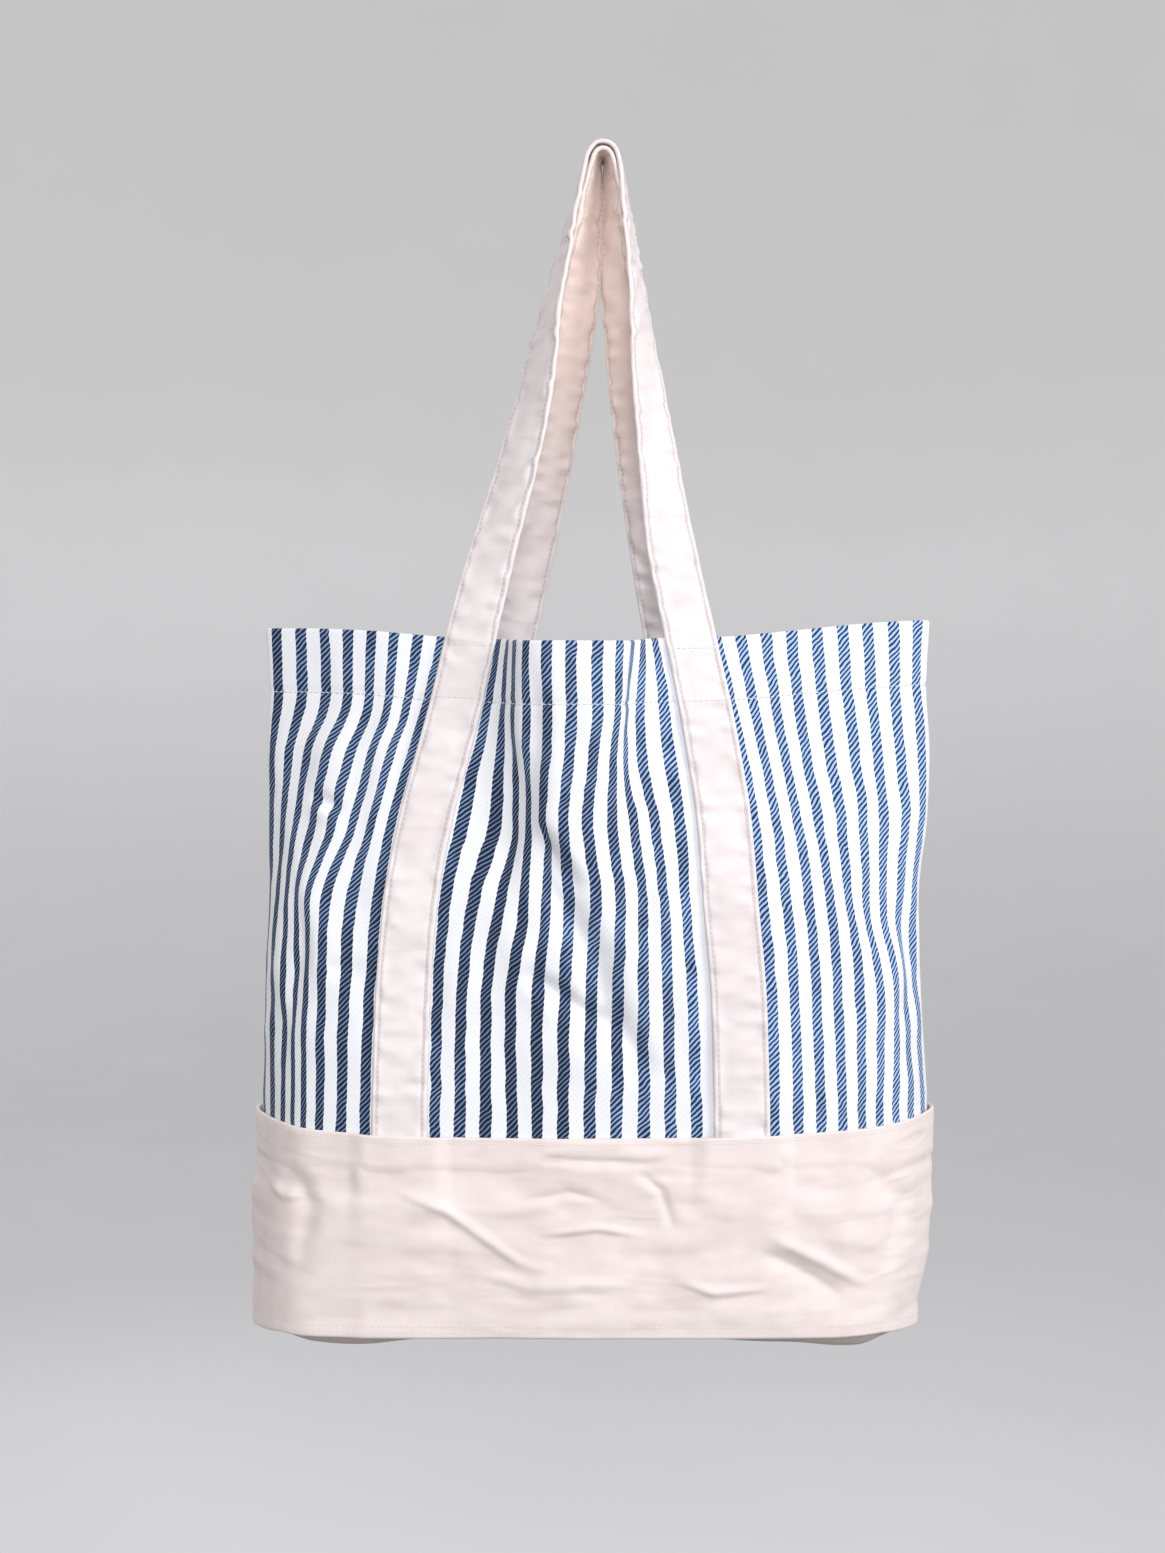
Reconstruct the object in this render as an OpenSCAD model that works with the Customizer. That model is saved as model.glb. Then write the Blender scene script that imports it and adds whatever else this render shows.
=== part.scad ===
// Striped tote bag with a canvas base band and two long shoulder straps.
//
// The bag hangs from a hook: the origin is the underside of the inner strap's
// bight, where the hook bears, with +Z up and the front of the bag facing -Y.
// Every cloth layer follows one wall surface. wall(u, z, out) gives a point of
// it, and each piece is that surface between an inner and an outer offset.

/* [Body] */
// Width of the striped body, side to side
bag_w = 404; // [320:1:480]
// Height from the base to the rim
bag_h = 410; // [330:1:490]
// Depth of the mouth at the rim, front to back
mouth_d = 56; // [40:1:80]
// Depth of the base, front to back
base_d = 112; // [80:1:140]
// How far each round side reaches in from the side seam
side_round = 44; // [30:1:60]
// Depth of the turned hem at the rim
hem_h = 36; // [25:1:50]

/* [Base band] */
// Height of the canvas band above the base
band_h = 126; // [90:1:160]
// How far the striped panels and the strap ends run down behind the band
lap = 20; // [12:1:30]

/* [Straps] */
// Width of a strap
strap_w = 32; // [25:1:40]
// Height from the rim to the hook
handle_drop = 297; // [220:1:360]
// Half the distance between the two front straps at the band
strap_half_gap = 99; // [70:1:110]
// Half the distance between the front straps at the rim, where the hook draws them in
front_rim_half_gap = 64; // [45:1:80]
// Half the distance between the back straps at the rim
back_rim_half_gap = 47; // [35:1:60]
// How far the front straps stand left of the middle at the band
band_shift = 19; // [0:1:20]
// How far both pairs of straps stand left of the middle at the rim
rim_shift = 12; // [0:1:20]
// Radius of the hook that the straps hang on
hook_r = 4; // [3:0.5:8]

/* [Cloth] */
// Thickness of the striped twill
twill_t = 1; // [0.8:0.1:1.5]
// Thickness of the canvas
canvas_t = 1; // [0.8:0.1:1.5]
// Thickness of a strap, which is canvas folded in four
strap_t = 3; // [2:0.1:4]
// Width of the overlocked seam allowance inside each side
seam_w = 9; // [6:1:14]

/* [Sewing] */
// Distance from a cloth edge to its row of stitches
stitch_inset = 3; // [2:0.5:5]
// Width of a row of stitches
thread_w = 0.8; // [0.6:0.1:1.2]
// Height of a row of stitches above the cloth
thread_t = 0.4; // [0.3:0.1:0.6]

/* [Clearances] */
// Clear space between two layers of cloth
layer_gap = 0.2; // [0.1:0.05:0.4]
// Clear space between a handle and the strap that it grows from
fold_gap = 0.5; // [0.3:0.1:1]
// Clear space between the front handle's bight and the back one inside it
nest_gap = 2; // [1.8:0.1:3]
// Clear space between a twisted handle and its rows of stitches
twist_gap = 0.5; // [0.5:0.1:0.8]

/* [Hidden] */

// Heights, measured from the hook
rim_z = -handle_drop;
base_z = rim_z - bag_h;
band_top_z = base_z + band_h;
panel_foot_z = band_top_z - lap;
hem_z = rim_z - hem_h;
hem_step = 0.5;

// Offsets of the layers from the striped panel's outer face
strap_in = layer_gap;
strap_out = strap_in + strap_t;
band_in = strap_out + layer_gap;
band_out = band_in + canvas_t;

// How finely the curves are divided
side_steps = 8;
wall_rows = 14;
leg_steps = 24;
bight_steps = 12;

// How strongly the straps lean in near the rim, and turn edge-on near the hook
lean_power = 2;
twist_power = 1.5;

// Where the straps' middles cross the rim and the band, as x for left and right
front_rim_x = [for (side = [-1, 1]) side * front_rim_half_gap - rim_shift];
front_band_x = [for (side = [-1, 1]) side * strap_half_gap - band_shift];
back_rim_x = [for (side = [-1, 1]) side * back_rim_half_gap - rim_shift];
back_band_x = [for (side = [-1, 1]) side * strap_half_gap];
rim_y = mouth_d / 2 + strap_in + strap_t / 2;

// Colours of the cloths and the thread
twill = [0.66, 0.72, 0.84];
canvas = [0.92, 0.87, 0.86];
strapping = [0.95, 0.91, 0.90];
thread = [0.99, 0.97, 0.95];

// ---- The wall surface ----

// Half the bag's depth at a height: narrow at the mouth and full at the band
function half_depth(z) =
    let (down = min(1, max(0, (rim_z - z) / (rim_z - band_top_z))))
    mouth_d / 2 + (base_d - mouth_d) / 2 * sin(90 * down);

// A point of the front half of the wall. u runs from -1 at the left side seam to
// 1 at the right one, and out is the distance outside the panel's outer face.
flat_share = 0.7;
function wall(u, z, out) =
    let (
        flat_w = bag_w / 2 - side_round,
        turn = 90 * max(0, abs(u) - flat_share) / (1 - flat_share),
        side = sign(u)
    )
    abs(u) <= flat_share
        ? [flat_w * u / flat_share, -half_depth(z) - out, z]
        : [side * (flat_w + (side_round + out) * sin(turn)), -(half_depth(z) + out) * cos(turn), z];

// The places of u that draw the wall: its flat needs none between its ends
side_turns = [for (i = [0:side_steps]) flat_share + (1 - flat_share) * i / side_steps];
wall_columns = concat([for (i = [side_steps:-1:0]) -side_turns[i]], side_turns);

// Heights from low to high that draw the wall between two heights
function wall_heights(low, high) = concat(
    [low],
    [for (i = [0:wall_rows])
        let (z = band_top_z + (rim_z - band_top_z) * i / wall_rows)
        if (z > low + 1 && z < high - 1) z],
    [high]
);

// ---- Lofting ----

// A closed solid through rings of equally many points. Each ring runs
// anticlockwise as seen looking back from the last ring, out along one side and
// home along the other, so that its two halves lie opposite each other.
module skin(rings) {
    count = len(rings[0]);
    last = (len(rings) - 1) * count;
    sides = [for (i = [0:len(rings) - 2]) for (j = [0:count - 1])
        let (a = i * count + j, b = i * count + (j + 1) % count)
        each [[a, a + count, b + count], [a, b + count, b]]];
    caps = [for (j = [0:count / 2 - 2])
        let (quad = [j, j + 1, count - 2 - j, count - 1 - j])
        each [quad, [for (k = [3:-1:0]) last + quad[k]]]];
    polyhedron(points = [for (ring = rings) each ring], faces = concat(caps, sides));
}

// One level of a sheet of cloth, from its inner to its outer offset
function sheet_ring(z, inside, outside) = concat(
    [for (u = wall_columns) wall(u, z, outside)],
    [for (i = [len(wall_columns) - 1:-1:0]) wall(wall_columns[i], z, inside)]
);

// A flat row of stitches on the wall, from u1 to u2 at a height
module wall_stitches(u1, u2, z, on) {
    inner_columns = [for (u = wall_columns) if (u > u1 + 0.001 && u < u2 - 0.001) u];
    skin([for (u = concat([u1], inner_columns, [u2])) [
        wall(u, z - thread_w / 2, on + thread_t),
        wall(u, z - thread_w / 2, on),
        wall(u, z + thread_w / 2, on),
        wall(u, z + thread_w / 2, on + thread_t)
    ]]);
}

// ---- Cloth panels ----

// Striped upper panel, with the rim turned in and doubled down to the hem line
module striped_panel() {
    color(twill) skin(concat(
        [for (z = wall_heights(panel_foot_z, hem_z)) sheet_ring(z, -twill_t, 0)],
        [for (z = wall_heights(hem_z + hem_step, rim_z)) sheet_ring(z, -2 * twill_t, 0)]
    ));
}

// Canvas band round the foot of one half of the bag
module base_band() {
    color(canvas) skin([for (z = [base_z + canvas_t, band_top_z]) sheet_ring(z, band_in, band_out)]);
}

// Canvas bottom, whose underside the bag rests on when it is set down
module bottom_panel() {
    front = [for (u = wall_columns) let (p = wall(u, base_z, band_out)) [p.x, p.y]];
    back = [for (i = [len(front) - 2:-1:1]) [front[i].x, -front[i].y]];
    color(canvas) translate([0, 0, base_z]) linear_extrude(canvas_t) polygon(concat(front, back));
}

// Overlocked seam allowances inside the right-hand side seam: they step out
// from behind the hem to the single cloth, and below the panel to the band.
// They stand clear of the wall's last facet, which leans in beside them.
module side_seam() {
    seam_t = 2 * twill_t + thread_t;
    last_turn = 90 * (1 - 1 / side_steps);
    lean = (side_round + band_out) * (1 - sin(last_turn))
        * seam_t / 2 / ((mouth_d / 2 - 2 * twill_t) * cos(last_turn));
    wall_x = bag_w / 2 - lean - layer_gap;
    steps = [
        [base_z + canvas_t + layer_gap, wall_x + band_in],
        [panel_foot_z - layer_gap, wall_x + band_in],
        [panel_foot_z - layer_gap, wall_x - twill_t],
        [hem_z - layer_gap, wall_x - twill_t],
        [hem_z - layer_gap, wall_x - 2 * twill_t],
        [rim_z - layer_gap, wall_x - 2 * twill_t]
    ];
    outer = [for (s = steps) [s[1], s[0]]];
    inner = [for (i = [len(steps) - 1:-1:0]) [steps[i][1] - seam_w, steps[i][0]]];
    color(thread) translate([0, seam_t / 2, 0]) rotate([90, 0, 0])
        linear_extrude(seam_t) polygon(concat(outer, inner));
}

// ---- Straps ----

// Middle of a sewn strap at a height, leaning in as it nears the rim
function strap_x(z, rim_x, band_x) =
    band_x + (rim_x - band_x) * pow(max(0, z - band_top_z) / (rim_z - band_top_z), lean_power);

// A strip that lies on the flat of the wall along a sewn strap: its edges stand
// at two distances from the strap's middle, and its faces at two offsets
module strap_strip(rim_x, band_x, low, high, edges, inside, outside) {
    skin([for (z = wall_heights(low, high))
        let (x = strap_x(z, rim_x, band_x), y = -half_depth(z))
        [
            [x + edges[0], y - outside, z],
            [x + edges[1], y - outside, z],
            [x + edges[1], y - inside, z],
            [x + edges[0], y - inside, z]
        ]]);
}

// The part of a strap that is sewn to the bag, with its end caught behind the band
module sewn_strap(rim_x, band_x) {
    color(strapping)
        strap_strip(rim_x, band_x, panel_foot_z, rim_z, [-strap_w / 2, strap_w / 2], strap_in, strap_out);
}

// Two edge rows and the two cross rows of the box at the hem
module sewn_strap_stitching(rim_x, band_x) {
    on = strap_out + layer_gap;
    edge = strap_w / 2 - stitch_inset;
    color(thread) {
        for (side = [-1, 1])
            strap_strip(rim_x, band_x, band_top_z + layer_gap, rim_z - layer_gap,
                [side * edge - thread_w / 2, side * edge + thread_w / 2], on, on + thread_t);
        for (z = [hem_z, rim_z - stitch_inset])
            strap_strip(rim_x, band_x, z - thread_w / 2, z + thread_w / 2,
                [-edge + thread_w, edge - thread_w], on, on + thread_t);
    }
}

// ---- Handles ----

// Places along a front handle as [middle, direction, twist]: up the left leg from
// the rim, over the hook and down the right leg. The twist is the angle that the
// strap has turned from facing the front, which is 90 where it is edge-on.
function handle_path(rim_x, bight_r) =
    let (
        centre_z = -hook_r,
        foot_z = rim_z + fold_gap,
        reach = [for (x = rim_x) norm([x, foot_z - centre_z])],
        bearing = [for (x = rim_x) atan2(foot_z - centre_z, x)],
        touch = [360 + bearing[0] - acos(bight_r / reach[0]), bearing[1] + acos(bight_r / reach[1])],
        leg_top = [for (a = touch) [bight_r * cos(a), centre_z + bight_r * sin(a)]],
        rise = [for (i = [0, 1]) let (d = leg_top[i] - [rim_x[i], foot_z]) d / norm(d)]
    )
    concat(
        [for (i = [0:leg_steps - 1])
            let (s = i / leg_steps, at = [rim_x[0], foot_z] * (1 - s) + leg_top[0] * s)
            [[at.x, -rim_y * (1 - s), at.y], [rise[0].x, 0, rise[0].y], 90 * (1 - pow(1 - s, twist_power))]],
        [for (i = [0:bight_steps])
            let (a = touch[0] + (touch[1] - touch[0]) * i / bight_steps)
            [[bight_r * cos(a), 0, centre_z + bight_r * sin(a)], [sin(a), 0, -cos(a)], 90]],
        [for (i = [leg_steps - 1:-1:0])
            let (s = i / leg_steps, at = [rim_x[1], foot_z] * (1 - s) + leg_top[1] * s)
            [[at.x, -rim_y * (1 - s), at.y], [-rise[1].x, 0, -rise[1].y], 90 * (1 + pow(1 - s, twist_power))]]
    );

// A strip that follows a handle between two distances across it and two depths,
// both counted from its middle. Depth is positive towards the inside.
module handle_strip(path, across, depth) {
    skin([for (place = path)
        let (
            over = [cos(place[2]), -sin(place[2]), 0],
            inward = cross(place[1], over),
            into = inward / norm(inward)
        )
        [for (corner = [[0, 0], [1, 0], [1, 1], [0, 1]])
            place[0] + over * across[corner[0]] + into * depth[corner[1]]]]);
}

module handle(rim_x, bight_r) {
    color(strapping)
        handle_strip(handle_path(rim_x, bight_r), [-strap_w / 2, strap_w / 2], [-strap_t / 2, strap_t / 2]);
}

module handle_stitching(rim_x, bight_r) {
    edge = strap_w / 2 - stitch_inset;
    top = -strap_t / 2 - twist_gap;
    color(thread) for (side = [-1, 1])
        handle_strip(handle_path(rim_x, bight_r),
            [side * edge - thread_w / 2, side * edge + thread_w / 2], [top - thread_t, top]);
}

// The back handle bears on the hook, and the front handle lies over it
back_bight_r = hook_r + strap_t / 2;
front_bight_r = back_bight_r + strap_t + nest_gap;

// ---- Rows of stitches round the body ----

// The hem's row stops at each edge of both straps
module hem_stitching(rim_x, band_x) {
    flat_w = bag_w / 2 - side_round;
    clear = strap_w / 2 + layer_gap;
    strap_u = [for (i = [0, 1]) for (side = [-1, 1])
        (strap_x(hem_z, rim_x[i], band_x[i]) + side * clear) / flat_w * flat_share];
    color(thread) {
        wall_stitches(-1, strap_u[0], hem_z, layer_gap);
        wall_stitches(strap_u[1], strap_u[2], hem_z, layer_gap);
        wall_stitches(strap_u[3], 1, hem_z, layer_gap);
    }
}

module band_stitching(height) {
    color(thread) wall_stitches(-1, 1, height, band_out + layer_gap);
}

module to_back() {
    mirror([0, 1, 0]) children();
}

// ---- Nodes ----

striped_panel();  // front_panel
to_back() striped_panel();  // back_panel
base_band();  // front_base_band
to_back() base_band();  // back_base_band
bottom_panel();
mirror([1, 0, 0]) side_seam();  // left_side_seam
side_seam();  // right_side_seam

sewn_strap(front_rim_x[0], front_band_x[0]);  // front_left_strap
sewn_strap(front_rim_x[1], front_band_x[1]);  // front_right_strap
to_back() sewn_strap(back_rim_x[0], back_band_x[0]);  // back_left_strap
to_back() sewn_strap(back_rim_x[1], back_band_x[1]);  // back_right_strap
handle(front_rim_x, front_bight_r);  // front_handle
to_back() handle(back_rim_x, back_bight_r);  // back_handle

hem_stitching(front_rim_x, front_band_x);  // front_hem_stitching
to_back() hem_stitching(back_rim_x, back_band_x);  // back_hem_stitching
band_stitching(band_top_z - stitch_inset);  // front_band_stitching
to_back() band_stitching(band_top_z - stitch_inset);  // back_band_stitching
band_stitching(base_z + canvas_t + stitch_inset);  // front_bottom_stitching
to_back() band_stitching(base_z + canvas_t + stitch_inset);  // back_bottom_stitching
sewn_strap_stitching(front_rim_x[0], front_band_x[0]);  // front_left_strap_stitching
sewn_strap_stitching(front_rim_x[1], front_band_x[1]);  // front_right_strap_stitching
to_back() sewn_strap_stitching(back_rim_x[0], back_band_x[0]);  // back_left_strap_stitching
to_back() sewn_strap_stitching(back_rim_x[1], back_band_x[1]);  // back_right_strap_stitching
handle_stitching(front_rim_x, front_bight_r);  // front_handle_stitching
to_back() handle_stitching(back_rim_x, back_bight_r);  // back_handle_stitching
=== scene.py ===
"""Striped tote bag with a canvas base band, hanging from a hook by its two shoulder straps.

The striped panels are lofted through the paths of a few warp threads, which say where the
cloth folds and bunches between the straps. Every other piece takes its place from that
cloth: the straps lie on it, the band wraps round its foot, and the stitches follow both.
Lengths in the shaping code are in millimetres, and meshes are in metres.
"""

import math

import bpy
import numpy as np
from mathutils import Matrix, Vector


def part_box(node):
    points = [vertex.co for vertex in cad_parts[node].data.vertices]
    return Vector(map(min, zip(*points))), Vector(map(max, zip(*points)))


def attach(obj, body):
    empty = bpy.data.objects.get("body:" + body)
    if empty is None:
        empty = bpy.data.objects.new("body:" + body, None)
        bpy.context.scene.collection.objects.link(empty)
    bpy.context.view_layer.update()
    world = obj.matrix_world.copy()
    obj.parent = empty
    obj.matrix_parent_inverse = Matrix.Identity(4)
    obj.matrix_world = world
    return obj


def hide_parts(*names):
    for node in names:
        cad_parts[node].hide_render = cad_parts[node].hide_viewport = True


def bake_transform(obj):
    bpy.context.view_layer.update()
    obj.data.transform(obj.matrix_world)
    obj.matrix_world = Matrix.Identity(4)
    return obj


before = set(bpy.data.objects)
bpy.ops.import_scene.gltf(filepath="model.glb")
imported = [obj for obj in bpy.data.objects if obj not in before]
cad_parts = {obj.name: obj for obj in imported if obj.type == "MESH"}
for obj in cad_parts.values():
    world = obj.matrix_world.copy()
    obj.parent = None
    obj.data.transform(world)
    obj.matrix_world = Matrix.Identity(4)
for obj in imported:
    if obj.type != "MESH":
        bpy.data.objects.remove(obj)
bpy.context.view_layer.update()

bl_info = {
    "name": "Striped tote bag",
    "version": (1, 0, 0),
    "blender": (4, 5, 0),
    "location": "View3D > Sidebar > Tote bag",
    "description": "Builds a striped cotton tote bag piece by piece",
    "category": "Add Mesh",
}

MM = 0.001


# ---- Places taken from the frame, in millimetres ----


def height_of(node, end):
    """Height of a CAD node's foot (end 0) or top (end 1)."""
    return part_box(node)[end].z / MM


RIM_Z = height_of("front_panel", 1)
PANEL_FOOT = RIM_Z - height_of("front_panel", 0)
BAND_TOP = RIM_Z - height_of("front_base_band", 1)
BASE_DEPTH = RIM_Z - height_of("bottom_panel", 0)


# ---- Settings ----


def length_setting(name, description, default):
    """A length in metres."""
    return bpy.props.FloatProperty(
        name=name, description=description, default=default, min=0.0, precision=5, unit="LENGTH"
    )


def colour_setting(name, description, default):
    """A colour, as scene-linear red, green and blue."""
    return bpy.props.FloatVectorProperty(
        name=name, description=description, default=default, size=3, min=0.0, max=1.0, subtype="COLOR"
    )


def power_setting(name, description, default):
    """A light's power in watts."""
    return bpy.props.FloatProperty(
        name=name, description=description, default=default, min=0.0, unit="POWER"
    )


class ToteClothSettings(bpy.types.PropertyGroup):
    """The two cloths that the bag is cut from."""

    stripe_pitch: length_setting("Stripe pitch", "From one blue stripe's middle to the next", 0.01525)
    stripe_share: bpy.props.FloatProperty(
        name="Blue share",
        description="How much of the pitch the blue stripe takes",
        default=0.44,
        min=0.2,
        max=0.8,
        subtype="FACTOR",
    )
    twill_thickness: length_setting("Twill thickness", "Thickness of the striped twill", 0.0009)
    canvas_thickness: length_setting("Canvas thickness", "Thickness of the plain canvas", 0.001)
    strap_thickness: length_setting("Strap thickness", "A strap, canvas folded in four", 0.0028)
    stripe_pale: colour_setting("Stripe, pale yarn", "Pale weft in the stripe", (0.36, 0.53, 0.84))
    stripe_dark: colour_setting("Stripe, deep yarn", "Navy warp of the stripe", (0.005, 0.012, 0.042))
    ground: colour_setting("Ground", "White yarn between the stripes", (0.78, 0.79, 0.83))
    canvas: colour_setting("Canvas", "Off-white canvas with a warm cast", (0.82, 0.73, 0.715))
    canvas_shade: colour_setting("Canvas, dull", "Duller yarns of the canvas", (0.62, 0.52, 0.50))
    strap: colour_setting("Straps", "Lighter canvas of the straps", (0.81, 0.745, 0.76))
    strap_shade: colour_setting("Straps, dull", "Duller yarns of the straps", (0.60, 0.53, 0.54))
    # Painted shade: a darker, warm tone on the handles' inner faces near their middle, standing in for
    # shade and light bounced off the cloth
    handle_shade: colour_setting("Handle shade", "Cloth darkened where a strap is held", (0.89, 0.735, 0.665))


class ToteSewingSettings(bpy.types.PropertyGroup):
    """The thread and how it is sewn."""

    stitch_pitch: length_setting("Stitch pitch", "From one stitch to the next", 0.0034)
    stitch_length: length_setting("Stitch length", "Length of thread that shows", 0.0026)
    thread_thickness: length_setting("Thread thickness", "Thickness of the thread", 0.0007)
    edge_inset: length_setting("Edge inset", "From an edge to its row of stitches", 0.003)
    thread: colour_setting("Thread", "Colour of the thread", (0.86, 0.80, 0.77))


class ToteStageSettings(bpy.types.PropertyGroup):
    """Floor, lights and camera."""

    camera_distance: length_setting("Camera distance", "From the camera to the hook", 1.112)
    key_power: power_setting("Key light", "Soft light from the front right", 8.5)
    front_power: power_setting("Front light", "Soft light from beside the camera", 9.0)
    back_power: power_setting("Back light", "Weak soft light from behind", 6.0)
    sky: bpy.props.FloatProperty(
        name="Room light", description="Even light from all round", default=0.6, min=0.0, max=2.0
    )
    backdrop: colour_setting("Backdrop", "Pale floor and backdrop", (0.93, 0.93, 0.94))


# ---- Small tools ----


def through(at, knots, values):
    """Values at the places `at` on a smooth curve through `values` at rising `knots`.

    The curve bends between its knots and never overshoots them. Its first axis is the knots.
    """
    at, knots, values = (np.asarray(a, float) for a in (at, knots, values))
    flat = values.reshape(len(knots), -1)
    step = np.diff(knots)[:, None]
    rise = np.diff(flat, axis=0) / step
    slope = np.zeros_like(flat)
    slope[0], slope[-1] = rise[0], rise[-1]
    product = rise[:-1] * rise[1:]
    total = np.where(product > 0, rise[:-1] + rise[1:], 1)
    slope[1:-1] = np.where(product > 0, 2 * product / total, 0)
    i = np.clip(np.searchsorted(knots, at.ravel(), side="right") - 1, 0, len(knots) - 2)
    span = step[i]
    t = np.clip((at.ravel()[:, None] - knots[i][:, None]) / span, 0, 1)
    curve = (
        flat[i] * (1 + 2 * t) * (1 - t) ** 2
        + slope[i] * span * t * (1 - t) ** 2
        + flat[i + 1] * t * t * (3 - 2 * t)
        + slope[i + 1] * span * t * t * (t - 1)
    )
    return curve.reshape(at.shape + values.shape[1:])


def ease(value, start, end):
    """0 before start and 1 after end, with a smooth rise between them."""
    t = np.clip((np.asarray(value, float) - start) / (end - start), 0, 1)
    return t * t * (3 - 2 * t)


def hump(value, middle, width):
    """1 at the middle and nearly 0 two widths away."""
    return np.exp(-(((np.asarray(value, float) - middle) / width) ** 2))


def noise(x, y, seed):
    """Smooth noise from -1 to 1 over two coordinates, the same on every run."""
    size = 64
    table = np.random.default_rng(seed).uniform(-1, 1, (size, size))
    x, y = np.broadcast_arrays(np.asarray(x, float), np.asarray(y, float))
    column, row = np.floor(x).astype(int), np.floor(y).astype(int)
    across, along = (f**3 * (f * (f * 6 - 15) + 10) for f in (x - column, y - row))

    def corner(i, j):
        return table[(column + i) % size, (row + j) % size]

    low = corner(0, 0) * (1 - across) + corner(1, 0) * across
    high = corner(0, 1) * (1 - across) + corner(1, 1) * across
    return low * (1 - along) + high * along


def unit(vectors):
    """Vectors made one long, over the last axis."""
    return vectors / np.maximum(np.linalg.norm(vectors, axis=-1, keepdims=True), 1e-9)


def crease(x, depth, path, width, height):
    """Height of a crease along a path of (x, depth) points, dying away at its two ends."""
    path = np.asarray(path, float)
    legs = np.diff(path, axis=0)
    lengths = np.linalg.norm(legs, axis=1)
    before = np.concatenate([[0], np.cumsum(lengths)])
    nearest = np.full(np.shape(x), 1e9)
    place = np.zeros(np.shape(x))
    for start, leg, length, done in zip(path, legs, lengths, before):
        t = np.clip(((x - start[0]) * leg[0] + (depth - start[1]) * leg[1]) / length**2, 0, 1)
        gap = np.hypot(x - start[0] - t * leg[0], depth - start[1] - t * leg[1])
        place = np.where(gap < nearest, done + t * length, place)
        nearest = np.minimum(gap, nearest)
    total = before[-1]
    ramp = ease(place, 0, 0.35 * total) * (1 - ease(place, 0.65 * total, total))
    return height * ramp * np.exp(-((nearest / width) ** 2))


def deselect():
    """Leaves nothing selected, so that the next operator acts on its own piece."""
    bpy.ops.object.select_all(action="DESELECT")


def select(piece):
    """Selects one piece alone and makes it active."""
    deselect()
    piece.select_set(True)
    bpy.context.view_layer.objects.active = piece


def grid_piece(name, points, cloth_map):
    """A sheet of quads through rows and columns of points, with its cloth map, in millimetres."""
    rows, columns = points.shape[:2]
    deselect()
    bpy.ops.mesh.primitive_grid_add(x_subdivisions=columns - 1, y_subdivisions=rows - 1, size=1)
    piece = bpy.context.object
    piece.name = piece.data.name = name
    mesh = piece.data
    if len(mesh.vertices) != rows * columns:
        raise RuntimeError(f"{name}: the grid has {len(mesh.vertices)} points, not {rows * columns}")
    mesh.vertices.foreach_set("co", (points * MM).astype(np.float32).ravel())
    corners = np.empty(len(mesh.loops), np.int32)
    mesh.loops.foreach_get("vertex_index", corners)
    layer = mesh.uv_layers.active
    layer.name = "Cloth"
    layer.data.foreach_set("uv", (cloth_map.reshape(-1, 2)[corners] * MM).astype(np.float32).ravel())
    mesh.update()
    return piece


def edit(piece, *steps):
    """Runs edit-mode steps on a piece with all of it selected."""
    select(piece)
    bpy.ops.object.mode_set(mode="EDIT")
    bpy.ops.mesh.select_all(action="SELECT")
    for step in steps:
        step()
    bpy.ops.object.mode_set(mode="OBJECT")


def thicken(piece, thickness):
    """Gives a sheet its thickness, in metres, half on each side."""
    solidify = piece.modifiers.new("Thickness", "SOLIDIFY")
    solidify.thickness = thickness
    solidify.offset = 0.0
    solidify.use_rim = True
    select(piece)
    bpy.ops.object.modifier_apply(modifier=solidify.name)


def smooth_shade(piece, degrees=60.0):
    """Shades a piece smooth but for its sharp edges."""
    select(piece)
    bpy.ops.object.shade_smooth_by_angle(angle=math.radians(degrees))


def dress(piece, material, nodes):
    """Gives a piece its material, in its one slot, and hides the CAD nodes that the piece replaces."""
    piece.data.materials.clear()
    piece.data.materials.append(material)
    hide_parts(*nodes)


# ---- The wall of the bag ----

# Depths below the rim at which the warp threads' places are given
DEPTHS = (0, 38, 73, 108, 158, 215, 272)

# Warp threads of the front panel from the left side seam to the right one. A thread's
# number counts stripes from the left strap, and its (x, y) is given at each depth.
FRONT_THREADS = {
    -10.5: ((-205, 0), (-203, 0), (-204, 0), (-203, 0), (-201, 0), (-202, 0), (-206, 0)),
    -8: ((-167, -14), (-166, -16), (-178, -20), (-183, -24), (-189, -33), (-188, -38), (-188, -40)),
    -5.5: ((-131, -23), (-133, -26), (-144, -31), (-153, -36), (-169, -44), (-169, -49), (-170, -51)),
    -2.8: ((-93, -26), (-102, -30), (-112, -35), (-121, -40), (-129, -48), (-133, -53), (-135, -55.5)),
    -0.2: ((-63, -33), (-70, -35), (-78, -38), (-86, -43), (-95, -50), (-99, -54), (-100, -56)),
    1.5: ((-54, -47), (-55, -44), (-55, -43), (-55.5, -44), (-68, -53), (-75, -56), (-76, -56)),
    3: ((-45, -60), (-46, -58), (-46, -56), (-45, -54), (-46, -57), (-54, -56), (-53, -56)),
    4.5: ((-26, -66), (-26, -66), (-27, -65), (-30, -64), (-27, -59), (-30.5, -56), (-31, -56)),
    7: ((9, -63), (8, -63), (5, -62), (5, -60), (9.5, -56), (8, -57), (7.5, -56)),
    8.5: ((20, -49), (17, -50), (17.5, -53), (24, -53), (29, -56), (30, -56), (31, -56)),
    10.6: ((36, -33), (44, -35), (49, -38), (53, -43), (56, -50), (60, -54), (62, -56)),
    12.9: ((66, -26), (74, -30), (81, -35), (87, -40), (91.5, -48), (96, -53), (97, -55.5)),
    16: ((112, -22), (115, -25), (120.5, -30), (127, -34), (133, -43), (136, -50), (138, -54)),
    19: ((158, -13), (160, -16), (164, -21), (168, -26), (166, -34), (173, -40), (171, -44)),
    21.6: ((199, 0), (197, 0), (198.5, 0), (197, 0), (191.5, 0), (193, 0), (196.5, 0)),
}

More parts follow.
